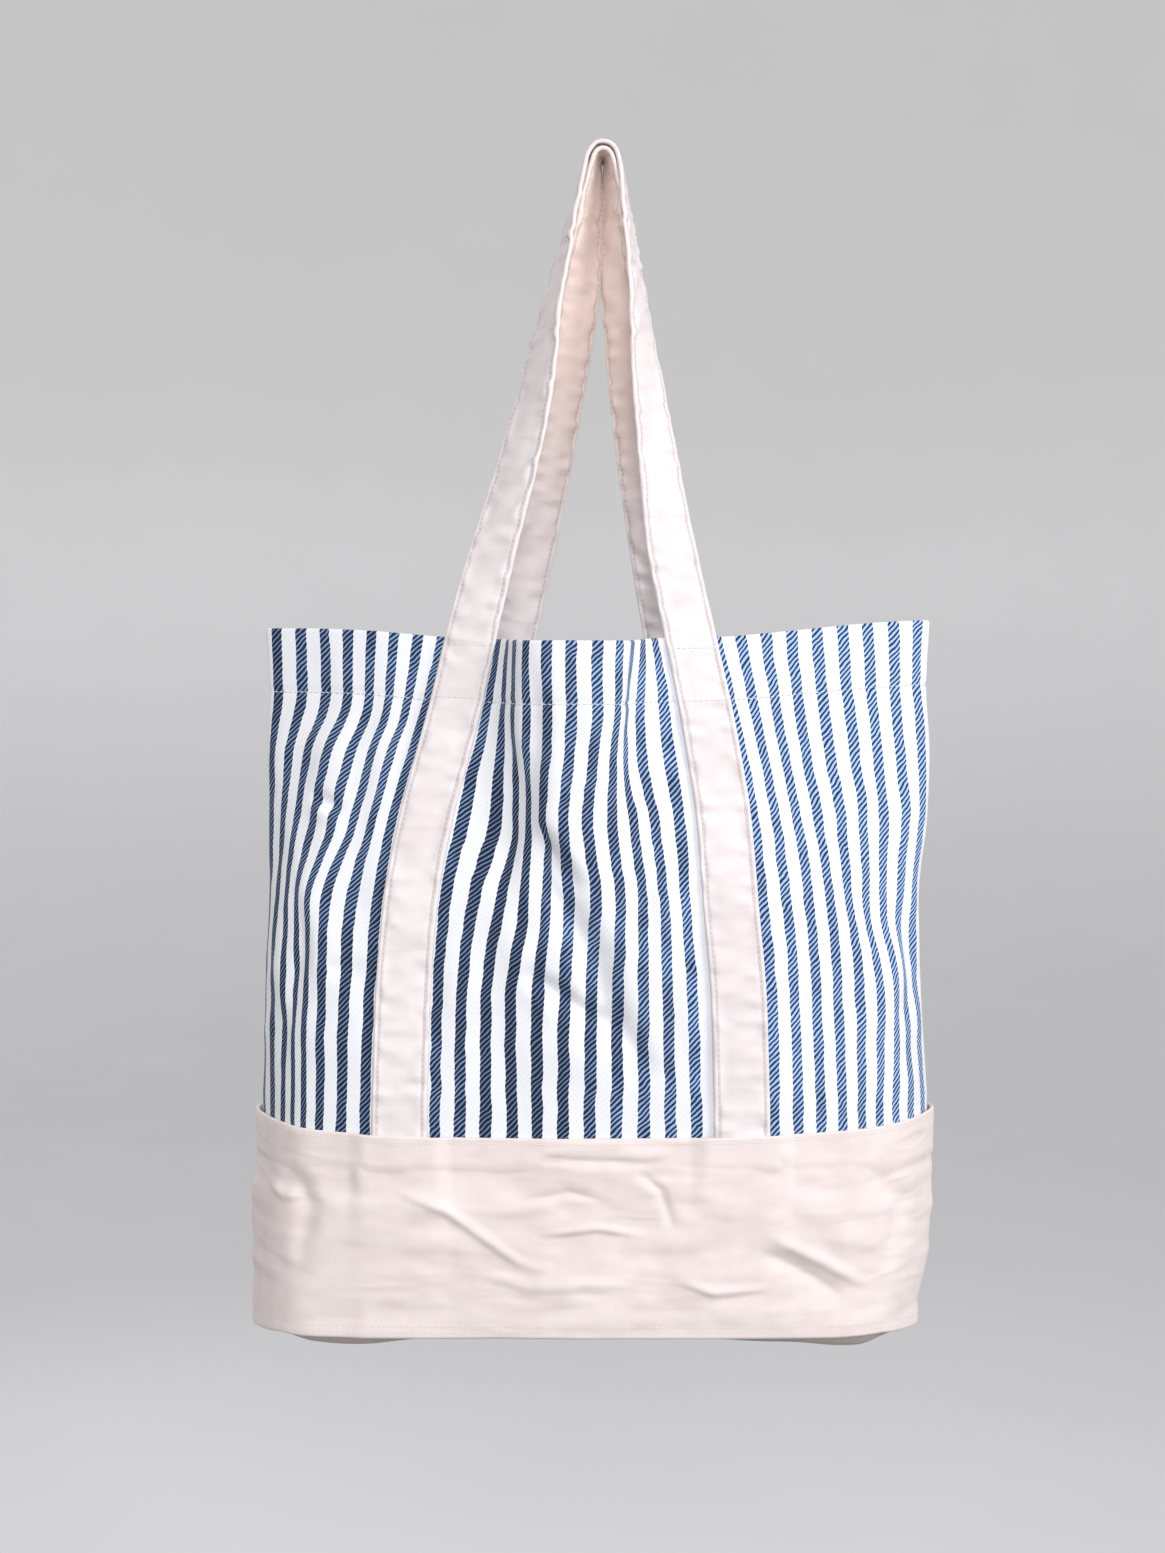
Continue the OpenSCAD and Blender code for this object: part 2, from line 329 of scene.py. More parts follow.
# The same for the back panel, seen from the front
BACK_THREADS = {
    -10.5: FRONT_THREADS[-10.5],
    -8: ((-170, 16), (-168, 18), (-177, 22), (-182, 26), (-186, 33), (-187, 38), (-188, 40)),
    -5: ((-124, 23), (-130, 26), (-140, 31), (-148, 36), (-158, 44), (-162, 49), (-164, 52)),
    -1.9: ((-72, 26), (-87, 30), (-97, 35), (-105, 40), (-110, 48), (-114, 53), (-115, 55.5)),
    0.5: ((-42, 32), (-56, 35), (-66, 38), (-74, 43), (-79, 50), (-82, 54), (-83, 56)),
    2.5: ((-33, 46), (-44, 46), (-48, 46), (-53, 49), (-54, 54), (-53, 56), (-52, 56)),
    5.5: ((-9, 57), (-12, 60), (-10, 61), (-8, 60), (-7, 57), (-6, 56), (-6, 56)),
    8.5: ((15, 47), (20, 48), (27, 49), (33, 51), (37, 54), (39, 56), (40, 56)),
    10.6: ((27, 32), (35, 35), (48, 38), (58, 43), (66, 50), (71, 54), (73, 56)),
    13: ((57, 26), (66, 30), (79, 35), (89, 40), (97, 48), (103, 53), (106, 55.5)),
    16: ((108, 22), (111, 25), (119, 30), (127, 34), (133, 43), (139, 50), (141, 54)),
    19: ((158, 14), (160, 17), (164, 22), (168, 27), (167, 35), (173, 40), (172, 43)),
    21.6: FRONT_THREADS[21.6],
}

# How much the rim stands above its level at each thread: it droops between the straps
RIM_RISE = {
    -10.5: 4.5, -10.2: 6.8, -7: 5, -2.8: 0, 0: -2, 4: -5, 7: -5,
    10.6: -1, 13: 0, 16: 4, 19: 9, 21.3: 11.8, 21.6: 9.5,
}
# Depth at which the rim's droop is no longer felt
RISE_FADES = 150

# Numbers of the threads that each sewn strap covers: its outer edge, then its inner one
STRAP_THREADS = {
    "front": ((-2.8, -0.2), (12.9, 10.6)),
    "back": ((-1.9, 0.5), (13, 10.6)),
}

# Single creases of each half: its path of (x, depth), its width and how far it stands out
WALL_CREASES = {
    "front": (
        (((-44, 92), (-30, 145), (-6, 188), (10, 250)), 9, -6.5),
        (((-26, 96), (-8, 138), (14, 182), (32, 246)), 12, 3.6),
        (((-62, 150), (-48, 190), (-30, 230)), 11, 2.4),
        (((-40, 4), (-40, 60), (-42, 110)), 6, -3.0),
        (((0, 210), (14, 236), (30, 262)), 8, -4.5),
        (((-42, 108), (-26, 132), (-10, 155)), 6, -6.5),
        (((-52, 190), (-14, 218), (10, 232)), 6, -6.5),
        (((-176, 94), (-164, 99), (-150, 107)), 4, -4.0),
        (((-178, 98), (-165, 104), (-149, 106)), 5, 2.2),
        (((-168, 190), (-150, 196), (-136, 190)), 5, -1.8),
        (((22, 60), (30, 110), (28, 160)), 7, -2.0),
        (((150, 70), (168, 130), (160, 210)), 12, -2.5),
        (((176, 150), (184, 190), (180, 240)), 6, -2.2),
        (((-190, 120), (-178, 180), (-184, 250)), 6, -2.2),
        (((-60, 230), (-20, 246), (40, 238)), 14, 1.6),
    ),
    "back": (
        (((30, 100), (10, 150), (-18, 230)), 12, -3.0),
        (((-160, 90), (-150, 150), (-158, 220)), 10, -2.4),
        (((140, 60), (156, 130), (150, 230)), 10, 2.2),
    ),
}


class Wall:
    """One half of the bag's wall: points and normals of its outer face, by thread and depth."""

    THREAD_STEP = 0.1
    DEPTH_STEP = 2.0

    def __init__(self, side, threads, other, seed):
        self.side = side
        self.first, self.last = min(threads), max(threads)
        self.straps = STRAP_THREADS[side]
        numbers = sorted(threads)
        beyond = sorted(other)
        # the other half's next thread past each seam carries the wall smoothly round it
        knots = [self.first * 2 - beyond[1], *numbers, self.last * 2 - beyond[-2]]
        paths = [other[beyond[1]], *(threads[n] for n in numbers), other[beyond[-2]]]
        self.threads = np.arange(self.first - 0.3, self.last + 0.35, self.THREAD_STEP)
        self.depths = np.arange(-6, BASE_DEPTH + 10, self.DEPTH_STEP)
        columns = through(self.threads, knots, np.array(paths, float))
        level = through(self.depths, DEPTHS, np.swapaxes(columns, 0, 1))
        rise = through(self.threads, sorted(RIM_RISE), [RIM_RISE[n] for n in sorted(RIM_RISE)])
        ramp = 1 - ease(self.depths, 0, RISE_FADES)
        height = RIM_Z - self.depths[:, None] + ramp[:, None] * rise[None, :]
        smooth = np.concatenate([level, height[..., None]], axis=-1)
        stand = self.wrinkles(smooth, seed)
        self.points = smooth + self.outward(smooth) * stand[..., None]
        self.normals = self.outward(self.points)

    def outward(self, points):
        """Unit normals that point out of the bag."""
        normals = np.cross(np.gradient(points, axis=1), np.gradient(points, axis=0))
        return unit(-normals if self.side == "front" else normals)

    def free(self, threads):
        """1 where the cloth is free and 0 where a strap or a side seam holds it flat."""
        free = ease(np.minimum(threads - self.first, self.last - threads), 0.1, 0.9)
        for strap in self.straps:
            gap = np.maximum(min(strap) - threads, threads - max(strap))
            free = free * ease(gap, -0.1, 0.8)
        return free

    def wrinkles(self, smooth, seed):
        """How far the cloth stands out or in from its smooth shape."""
        n, d = np.meshgrid(self.threads, self.depths)
        long_folds = noise(n * 0.42 + d * 0.004, d / 120, seed)
        short_folds = noise(n * 0.75 - d * 0.012, d / 46, seed + 1)
        dents = noise(n * 1.3 + d * 0.03, d / 19, seed + 2)
        hem_stiffness = 0.45 + 0.55 * ease(d, 25, 60)
        foot = 1 - 0.7 * ease(d, 230, 272)
        stand = hem_stiffness * foot * (2.2 * long_folds + 1.4 * short_folds + 0.6 * dents)
        for path, width, height in WALL_CREASES[self.side]:
            stand = stand + crease(smooth[..., 0], d, path, width, height)
        ends = hump(n, self.first, 0.2) + hump(n, self.last, 0.2)
        return self.free(n) * stand - 1.1 * ends * (d < PANEL_FOOT)

    def at(self, threads, depths, lift=0.0):
        """Points `lift` outside the wall, and its normals, at thread numbers and depths."""
        n, d, lift = np.broadcast_arrays(*(np.asarray(a, float) for a in (threads, depths, lift)))
        column = np.clip((n - self.threads[0]) / self.THREAD_STEP, 0, len(self.threads) - 1.001)
        row = np.clip((d - self.depths[0]) / self.DEPTH_STEP, 0, len(self.depths) - 1.001)
        i, j = column.astype(int), row.astype(int)
        across, down = (column - i)[..., None], (row - j)[..., None]

        def blend(table):
            upper = table[j, i] * (1 - across) + table[j, i + 1] * across
            lower = table[j + 1, i] * (1 - across) + table[j + 1, i + 1] * across
            return upper * (1 - down) + lower * down

        normals = unit(blend(self.normals))
        return blend(self.points) + normals * lift[..., None], normals


WALLS = {
    "front": Wall("front", FRONT_THREADS, BACK_THREADS, seed=3),
    "back": Wall("back", BACK_THREADS, FRONT_THREADS, seed=11),
}


# ---- Striped panels ----

# Depth of the hem's stitches, and from the panel's outer face to the cloth turned in behind it
HEM = 37
HEM_GAP = 1.6
# How far the stripe next to a side seam is drawn in, as a share of the pitch
SEAM_MARGIN = 0.35


def panel_rows():
    """Rows of a panel from the raw edge inside the hem, over the rim and down to the foot.

    Each is its depth and how far it lies inside the outer face.
    """
    inside = [(depth, HEM_GAP) for depth in np.linspace(HEM, 1.5, 16)]
    turns = np.linspace(0, math.pi, 7)
    fold = [(HEM_GAP / 2 * (1 - math.sin(t)), HEM_GAP / 2 * (1 + math.cos(t))) for t in turns]
    outside = [(depth, 0) for depth in np.linspace(2, PANEL_FOOT, 124)]
    return np.array(inside + fold + outside)


def striped_panel(side, settings, material):
    """Striped twill panel with its rim turned in and hemmed."""
    wall = WALLS[side]
    threads = np.linspace(wall.first + 0.02, wall.last - 0.02, 215)
    depths, inward = panel_rows().T
    hem_line = 0.9 * hump(depths, HEM, 1.5) * (inward == 0)
    drop = inward + hem_line + settings.twill_thickness / MM / 2
    points, _ = wall.at(threads[None, :], depths[:, None], -drop[:, None])
    run = np.concatenate([[0], np.cumsum(np.hypot(np.diff(depths), np.diff(inward)))])
    # the stripe next to each side seam lies a little further in, which leaves a white margin
    outward = np.sign(threads - (wall.first + wall.last) / 2)
    margin = SEAM_MARGIN * outward * (1 - ease(from_seam(wall, threads), 0.6, 2.6))
    across, down = np.meshgrid((threads + margin) * settings.stripe_pitch / MM, run)
    # the warp wanders a little where the cloth puckers
    across = across + 0.5 * noise(across / 23, down / 13, 5) + 0.35 * noise(across / 9, down / 6, 6)
    mirror = 1 if side == "front" else -1
    panel = grid_piece(f"{side}_striped_panel", points, np.stack([mirror * across, -down], axis=-1))
    thicken(panel, settings.twill_thickness)
    smooth_shade(panel)
    dress(panel, material, [f"{side}_panel"])
    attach(panel, "bag")


# ---- Base bands and bottom ----

# Cloth folded under at the band's top edge, how far the band's middle stands off the wall,
# and from one layer of its fold to the other
ALLOWANCE = 10
BAND_LIFT = 1.9
LAYER = 1.2

# Creases pressed into each band: its path of (x, depth), its width and how far it stands out
BAND_CREASES = {
    "front": (
        (((-131, 298), (-60, 302), (25, 305), (77, 299)), 2.2, -0.9),
        (((-141, 285), (-141, 326)), 3.0, 0.8),
        (((106, 285), (105, 330)), 3.0, 0.8),
        (((-126, 318), (-92, 331), (-48, 362), (-27, 368)), 2.6, 1.3),
        (((-40, 347), (-4, 342), (26, 347)), 2.0, 1.2),
        (((17, 308), (33, 321), (41, 347)), 2.6, -1.4),
        (((88, 343), (129, 363), (163, 380)), 3.4, 1.6),
        (((84, 352), (122, 371), (150, 388)), 4.0, -1.5),
        (((40, 370), (65, 379), (102, 376)), 2.2, 1.1),
        (((-82, 364), (-42, 376), (28, 373)), 3.6, 1.1),
        (((-60, 330), (-20, 322), (10, 330)), 2.4, -0.8),
        (((-186, 300), (-170, 330), (-176, 370)), 7, -2.2),
        (((150, 300), (172, 330), (168, 372)), 8, -2.2),
        (((-196, 318), (-184, 326), (-172, 324)), 3, 1.2),
    ),
    "back": (
        (((-120, 299), (0, 304), (110, 298)), 2.2, -0.9),
        (((-110, 330), (-40, 352), (10, 346)), 3, 1.3),
        (((60, 330), (110, 352), (150, 345)), 3, 1.3),
        (((-30, 372), (30, 380), (90, 372)), 3.4, 1.1),
        (((-170, 310), (-160, 350), (-168, 385)), 7, -2.0),
    ),
}


def from_seam(wall, threads):
    """Stripes from a thread to the nearer side seam."""
    return np.minimum(threads - wall.first, wall.last - threads)


def band_top(wall, threads):
    """Depth of the band's folded edge: it droops in the middle."""
    share = (threads - wall.first) / (wall.last - wall.first)
    return BAND_TOP - 2.5 + 10 * (1 - (2 * share - 1) ** 2)


def band_foot(wall, threads):
    """Depth of the band's lower edge: its corners hang a little."""
    return BASE_DEPTH - 4.5 + 6 * (1 - ease(from_seam(wall, threads), 0, 3))


def foot_taper(x, depths):
    """Share of the wall's width that is left towards the base, where the right end draws in."""
    return 1 - np.where(x > 0, 0.048, -0.008) * ease(depths, BASE_DEPTH - 75, BASE_DEPTH)


def band_surface(wall, threads, depths, lift, pressed=1.0):
    """Points and normals of a band, `lift` outside the wall and over the strap ends."""
    threads, depths = np.broadcast_arrays(np.asarray(threads, float), np.asarray(depths, float))
    over_straps = np.zeros(threads.shape)
    for strap in wall.straps:
        gap = np.maximum(min(strap) - threads, threads - max(strap))
        over_straps = np.maximum(over_straps, 1 - ease(gap, 0.1, 0.9))
    over_straps = over_straps * (1 - 0.85 * ease(depths, PANEL_FOOT, PANEL_FOOT + 50))
    over_seams = 2.0 * (1 - ease(from_seam(wall, threads), 0, 1.6))
    points, normals = wall.at(threads, depths)
    x = points[..., 0]
    soft = 2.4 * noise(x / 70, depths / 34, 21) + 0.8 * noise(x / 25, depths / 10, 22)
    soft = soft + 0.3 * noise(x / 12, depths / 6, 23)
    for path, width, height in BAND_CREASES[wall.side]:
        soft = soft + 1.8 * crease(x, depths, path, width, height)
    # over the panel's foot the band can hardly press in
    soft = np.maximum(soft, -0.5 - 9 * ease(depths, PANEL_FOOT, PANEL_FOOT + 26))
    held = ease(depths, BAND_TOP + 3, BAND_TOP + 16)
    held = held * (1 - ease(depths, BASE_DEPTH - 16, BASE_DEPTH - 6))
    stand = lift + 3.2 * over_straps + over_seams + pressed * (0.25 + 0.75 * held) * soft
    points = points + normals * stand[..., None]
    points[..., 0] *= foot_taper(x, depths)
    return points, normals


def base_band(side, settings, material):
    """Canvas band round the foot, its top edge folded under."""
    wall = WALLS[side]
    threads = np.linspace(wall.first + 0.012, wall.last - 0.012, 230)
    top, foot = band_top(wall, threads), band_foot(wall, threads)
    inner_lift = BAND_LIFT - LAYER
    rows = [(top + down, inner_lift, 0.0) for down in (ALLOWANCE, 7.5, 5, 2.5, 1.0)]
    for turn in np.linspace(0, math.pi, 6):
        rise = LAYER / 2 * (1 - math.sin(turn))
        rows.append((top + rise, BAND_LIFT - LAYER / 2 * (1 + math.cos(turn)), 0.0))
    for share in np.linspace(0, 1, 96):
        rows.append((top + 1.5 + share * (foot - top - 2.5), BAND_LIFT + 0 * top, 1.0))
    for turn in np.linspace(0.3, math.pi / 2, 5):
        rows.append((foot - 1 + 1.5 * math.sin(turn), BAND_LIFT - 2.5 * (1 - math.cos(turn)), 1.0))
    sheets = [band_surface(wall, threads, depth, lift, pressed)[0] for depth, lift, pressed in rows]
    points = np.stack(sheets)
    run = np.cumsum(np.r_[0, np.linalg.norm(np.diff(points[:, 115], axis=0), axis=1)])
    along = np.cumsum(np.r_[0, np.linalg.norm(np.diff(points[60], axis=0), axis=1)])
    cloth_map = np.stack(np.meshgrid(along, -run), axis=-1)
    band = grid_piece(f"{side}_canvas_band", points, cloth_map)
    thicken(band, settings.canvas_thickness)
    smooth_shade(band)
    dress(band, material, [f"{side}_base_band"])
    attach(band, "bag")


def bottom(settings, material):
    """Canvas bottom between the two bands, which sags in a lobe towards each end."""
    edges = []
    for side in ("front", "back"):
        wall = WALLS[side]
        threads = np.linspace(wall.first + 0.12, wall.last - 0.12, 400)
        points, _ = band_surface(wall, threads, band_foot(wall, threads) + 0.2, -0.6)
        edges.append(points)
    low = max(edge[0, 0] for edge in edges)
    high = min(edge[-1, 0] for edge in edges)
    turn = np.linspace(0, math.pi, 150)
    x = (low + high) / 2 - (high - low) / 2 * np.cos(turn)
    front, back = (
        np.stack([np.interp(x, edge[:, 0], edge[:, axis]) for axis in range(3)], axis=-1)
        for edge in edges
    )
    share = np.linspace(0, 1, 48)[:, None]
    belly = ease(share, -0.14, 0.14) * (1 - ease(share, 0.86, 1.14)) * 2 - 1
    sag = 2 + 6.5 * hump(x, -150, 36) + 3 * hump(x, 98, 48) + 7 * hump(x, 152, 34)
    sag = sag * ease(np.minimum(x - low, high - x), 0, 40)
    points = front * (1 - share[..., None]) + back * share[..., None]
    points[..., 2] -= belly * (sag + 0.9 * noise(x / 30, share * 5, 31))
    cloth_map = np.stack([points[..., 0], points[..., 1]], axis=-1)
    piece = grid_piece("canvas_bottom", points, cloth_map)
    thicken(piece, settings.canvas_thickness)
    smooth_shade(piece)
    dress(piece, material, ["bottom_panel"])
    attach(piece, "bag")


# ---- Side seams ----

# From the base up to the lower end of a seam's allowances
SEAM_END = 22


def side_seam(side, settings, material):
    """Overlocked allowances of a side seam, standing inside the bag."""
    wall = WALLS["front"]
    thread = wall.first if side == "left" else wall.last
    depths = np.linspace(HEM + 1.5, BASE_DEPTH - SEAM_END, 170)
    seam, normals = wall.at(thread, depths)
    seam[:, 0] *= foot_taper(seam[:, 0], depths)
    normals[:, 1] = 0
    normals = unit(normals)
    inward = np.array([1.6, 3, 4.5, 6, 7.5, 8.6, 9.4])
    wave = np.array([0, 0.2, 0.4, 0.7, 0.9, 1.0, 1.0])
    points = seam[:, None] - normals[:, None] * inward[None, :, None]
    points[..., 1] += 2.2 * wave * noise(depths / 31, 0.5, 41 if side == "left" else 42)[:, None]
    piece = grid_piece(f"{side}_seam_flap", points, np.stack(np.meshgrid(inward, -depths), axis=-1))
    thicken(piece, 2 * settings.twill_thickness)
    smooth_shade(piece)
    dress(piece, material, [f"{side}_side_seam"])
    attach(piece, "bag")


# ---- Straps ----

STRAP_WIDTH = 32
EDGE = STRAP_WIDTH / 2
# From the middle of a strap to each row of stitches along it
STITCH_LINE = 13
# From the wall to a sewn strap, the height of the hook's middle, and from row to row of points
STRAP_GAP = 0.3
HOOK_Z = -4
STEP = 2.4

# For each strap: the radius of its bight at its outer and inner edge, and for its two legs
# the middle's x and its turn in degrees at each height, from the rim to the hook
STRAP_LEGS = {
    "front": {
        "bight": (10.5, 10.5),
        "heights": (-297, -250, -200, -150, -100, -50, -4),
        "left": (-77, -66.5, -53.2, -41, -32, -20.9, -10.5),
        "right": (51, 41.6, 34.2, 27.9, 22.6, 16.5, 10.5),
        "left_turn": (12, 22, 35, 46, 64, 79, 88),
        "right_turn": (10, 20, 36, 52, 67, 79, 88),
    },
    "back": {
        "bight": (5.9, 2.3),
        "heights": (-297, -250, -200, -150, -91, -50, -25, -4),
        "left": (-57, -46, -34.2, -25, -15, -9.1, -6.5, -4.1),
        "right": (42, 33.5, 25, 17.3, 9.8, 6.3, 5.2, 4.1),
        "left_turn": (13, 28, 39, 39, 39, 61, 71.5, 83.5),
        "right_turn": (13, 22, 32, 42, 51, 65, 71.5, 83.5),
    },
}

# Places across a strap, from its outer edge to its inner one, close together at the stitches
HALF_ACROSS = (2, 5.5, 8.5, 11, 12.3, STITCH_LINE, 13.7, 14.9, 15.7, EDGE)
ACROSS = np.array([-a for a in reversed(HALF_ACROSS)] + list(HALF_ACROSS))


class Strap:
    """The middle of a strap as rows of points, from one sewn end over the hook to the other."""

    def __init__(self, side, thickness):
        self.side = side
        self.half = thickness / 2
        wall, legs = WALLS[side], STRAP_LEGS[side]
        left, right = (self.sewn(wall, *threads) for threads in wall.straps)
        rim = [left[0][-1].mean(axis=0), right[0][-1].mean(axis=0)]
        up = self.free(legs, "left", rim[0])
        down = self.free(legs, "right", rim[1])
        over = self.bight(legs["bight"])
        parts = [left, up, over, [a[::-1] for a in down], [a[::-1] for a in right]]
        self.points = np.concatenate([p[0] for p in parts])
        self.normals = np.concatenate([p[1] for p in parts])
        counts = np.cumsum([len(p[0]) for p in parts])
        # over the hook, the edge that hangs forward lies lower
        forward = ease(-self.points[..., 1], -10, 16) * ease(self.points[..., 2], -60, 0)
        self.points[..., 2] -= 5 * forward
        self.rims = (counts[0], counts[3])
        self.free_rows = slice(counts[0] + 3, counts[3] - 3)
        self.soften(counts)
        self.run = np.cumsum(np.r_[0, np.linalg.norm(np.diff(self.points[:, 10], axis=0), axis=1)])
        self.pucker()

    def sewn(self, wall, outer, inner):
        """Rows of a leg that lies on the wall, from its foot up to the rim."""
        depths = np.arange(PANEL_FOOT - 2, 0, -STEP)
        ends, _ = wall.at(np.array([[outer, inner]]), depths[:, None])
        width = np.linalg.norm(ends[:, 1] - ends[:, 0], axis=-1)[:, None]
        threads = (outer + inner) / 2 + ACROSS[None, :] / width * (inner - outer)
        lift = STRAP_GAP + self.half + 0.5
        return wall.at(threads, depths[:, None], lift)

    def free(self, legs, leg, rim):
        """Rows of a free leg from the rim up to the hook."""
        sign = 1 if leg == "left" else -1
        toward = -1 if self.side == "front" else 1
        height = np.arange(rim[2] + STEP, HOOK_Z - 0.5, STEP)
        x = through(height, legs["heights"], legs[leg])
        turn = np.radians(through(height, legs["heights"], legs[f"{leg}_turn"]))
        up_leg = (height - rim[2]) / (HOOK_Z - rim[2])
        middle = np.stack([x, rim[1] * (1 - up_leg), height], axis=-1)
        near_rim = 1 - ease(up_leg, 0, 0.25)
        middle[:, 0] += near_rim * (rim[0] - legs[leg][0])
        across = np.stack([sign * np.cos(turn), toward * np.sin(turn), 0 * turn], axis=-1)
        points = middle[:, None] + across[:, None] * ACROSS[None, :, None]
        flat = np.stack([-sign * np.sin(turn), toward * np.cos(turn), 0 * turn], axis=-1)
        return points, np.repeat(flat[:, None], len(ACROSS), axis=1)

    def bight(self, radii):
        """Rows over the hook, rounder at the outer edge than at the inner one."""
        toward = -1 if self.side == "front" else 1
        turn = np.linspace(math.pi, 0, 16)
        out = np.stack([np.cos(turn), 0 * turn, np.sin(turn)], axis=-1)
        radius = radii[0] + (radii[1] - radii[0]) * ease(ACROSS, -EDGE, EDGE)
        centre = np.array([0, 0, HOOK_Z]) + np.array([0, toward, 0]) * ACROSS[:, None]
        points = centre[None] + out[:, None] * radius[None, :, None]
        return points, np.repeat(out[:, None], len(ACROSS), axis=1)

    def soften(self, counts):
        """Rounds the rows where one part of the strap passes into the next."""
        rows = np.arange(len(self.points))
        for joint, reach in ((counts[0], 9), (counts[1], 5), (counts[2], 5), (counts[3], 9)):
            weight = hump(rows, joint, reach)[:, None, None]
            for _ in range(14):
                for table in (self.points, self.normals):
                    mean = table.copy()
                    mean[1:-1] = (table[:-2] + table[1:-1] + table[2:]) / 3
                    table += (mean - table) * weight
        self.normals[:] = unit(self.normals)

    def pucker(self):
        """Small wrinkles across the strap, strongest beside its stitches."""
        run, across = np.meshgrid(self.run, ACROSS, indexing="ij")
        seed = 51 if self.side == "front" else 61
        strength = 0.3 + 0.7 * hump(np.abs(across), 10.5, 4)
        strength = strength * (1 - 0.7 * ease(np.abs(across), EDGE - 2, EDGE))
        # over the hook the strap is pulled smooth
        strength = strength * (1 - 0.75 * ease(self.points[..., 2], -45, -15))
        ripples = noise(run / 5.2, across / 8, seed) * strength
        waves = noise(run / 34, across / 22, seed + 1)
        # the folded edges of the canvas inside the strap show as two shallow grooves
        grooves = hump(across, 8.6, 0.9) + 0.6 * hump(across, -10.2, 0.8)
        rise = 2.3 * ripples + 0.6 * waves - 0.35 * grooves
        self.points += self.normals * np.clip(rise, -1.1, 1.5)[..., None]

    def half_thickness(self):
        """Half the thickness at each place across: rounded edges and grooves at the stitches."""
        out = np.clip((np.abs(ACROSS) - (EDGE - self.half)) / self.half, 0, 1)
        groove = 0.45 * hump(np.abs(ACROSS), STITCH_LINE, 0.7)
        return (self.half - groove) * np.sqrt(1 - out**2)

    def face(self, outside=True, lift=0.0):
        """Points on the outer or the inner face."""
        sign = 1 if outside else -1
        return self.points + self.normals * (sign * (self.half_thickness() + lift))[None, :, None]


def strap_piece(side, settings, material):
    """One shoulder strap: two sewn legs and the handle between them, in one length."""
    strap = Strap(side, settings.strap_thickness / MM)
    outer, inner = strap.face(True), strap.face(False)
    points = np.concatenate([outer, inner[:, -2:0:-1], outer[:, :1]], axis=1)
    girth = np.r_[ACROSS + EDGE, 3 * EDGE - ACROSS[-2:0:-1], 4 * EDGE]
    cloth_map = np.stack(np.meshgrid(girth, strap.run), axis=-1)
    piece = grid_piece(f"{side}_strap", points, cloth_map)

    def close():
        bpy.ops.mesh.remove_doubles(threshold=1e-6)
        bpy.ops.mesh.select_all(action="SELECT")
        bpy.ops.mesh.fill_holes(sides=0)
        bpy.ops.mesh.select_all(action="SELECT")
        bpy.ops.mesh.normals_make_consistent(inside=False)

    edit(piece, close)
    smooth_shade(piece)
    nodes = [f"{side}_left_strap", f"{side}_right_strap", f"{side}_handle"]
    dress(piece, material, nodes)
    bend_at_rim(piece)


def bend_at_rim(piece):
    """Bakes a piece's transform into its mesh."""
    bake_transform(piece)


# ---- Stitches ----


def one_stitch(settings):
    """The mesh points and faces of a single stitch, lying along x on the plane z = 0."""
    deselect()
    bpy.ops.mesh.primitive_uv_sphere_add(segments=6, ring_count=4, radius=1)
    ball = bpy.context.object
    thread = settings.thread_thickness
    size = (thread * 0.42, thread / 2, settings.stitch_length / 2)
    edit(ball, lambda: bpy.ops.transform.resize(value=size))
    verts = np.array([v.co[:] for v in ball.data.vertices])[:, [2, 1, 0]] / MM
    faces = [tuple(reversed(p.vertices)) for p in ball.data.polygons]
    bpy.data.objects.remove(ball)
    return verts, faces


def stitches_along(line, normals, pitch):
    """Places, directions and normals of stitches at an even pitch along a line."""
    run = np.r_[0, np.cumsum(np.linalg.norm(np.diff(line, axis=0), axis=1))]
    at = np.arange(pitch / 2, run[-1] - pitch / 4, pitch)
    ends = [
        np.stack([np.interp(at + shift, run, line[:, axis]) for axis in range(3)], axis=-1)
        for shift in (-pitch / 3, pitch / 3)
    ]
    up = unit(np.stack([np.interp(at, run, normals[:, axis]) for axis in range(3)], axis=-1))
    along = unit(ends[1] - ends[0])
    return (ends[0] + ends[1]) / 2, along, up


def stitch_piece(name, lines, settings, material, nodes):
    """All the stitches of one piece, each a copy of a single stitch."""
    verts, faces = one_stitch(settings)
    pitch = settings.stitch_pitch / MM
    places, alongs, ups = (
        np.concatenate(parts) for parts in zip(*(stitches_along(p, n, pitch) for p, n in lines))
    )
    sides = unit(np.cross(ups, alongs))
    ups = np.cross(alongs, sides)
    points = (
        places[:, None]
        + verts[None, :, :1] * alongs[:, None]
        + verts[None, :, 1:2] * sides[:, None]
        + verts[None, :, 2:] * ups[:, None]
    )
    count = len(verts)
    all_faces = [tuple(i + k * count for i in face) for k in range(len(places)) for face in faces]
    mesh = bpy.data.meshes.new(name)
    mesh.from_pydata((points.reshape(-1, 3) * MM).tolist(), [], all_faces)
    piece = bpy.data.objects.new(name, mesh)
    bpy.context.scene.collection.objects.link(piece)
    edit(piece, lambda: bpy.ops.mesh.normals_make_consistent(inside=False))
    smooth_shade(piece, 180)
    dress(piece, material, nodes)
    return piece


def between_straps(wall, step=0.05):
    """Runs of threads along the rim that no strap covers."""
    low, high = sorted(wall.straps[0]), sorted(wall.straps[1])
    low_edges = (wall.first + 0.3, low[0] - 0.1, low[1] + 0.1)
    edges = (*low_edges, high[0] - 0.1, high[1] + 0.1, wall.last - 0.3)
    return [np.arange(a, b, step) for a, b in zip(edges[::2], edges[1::2])]


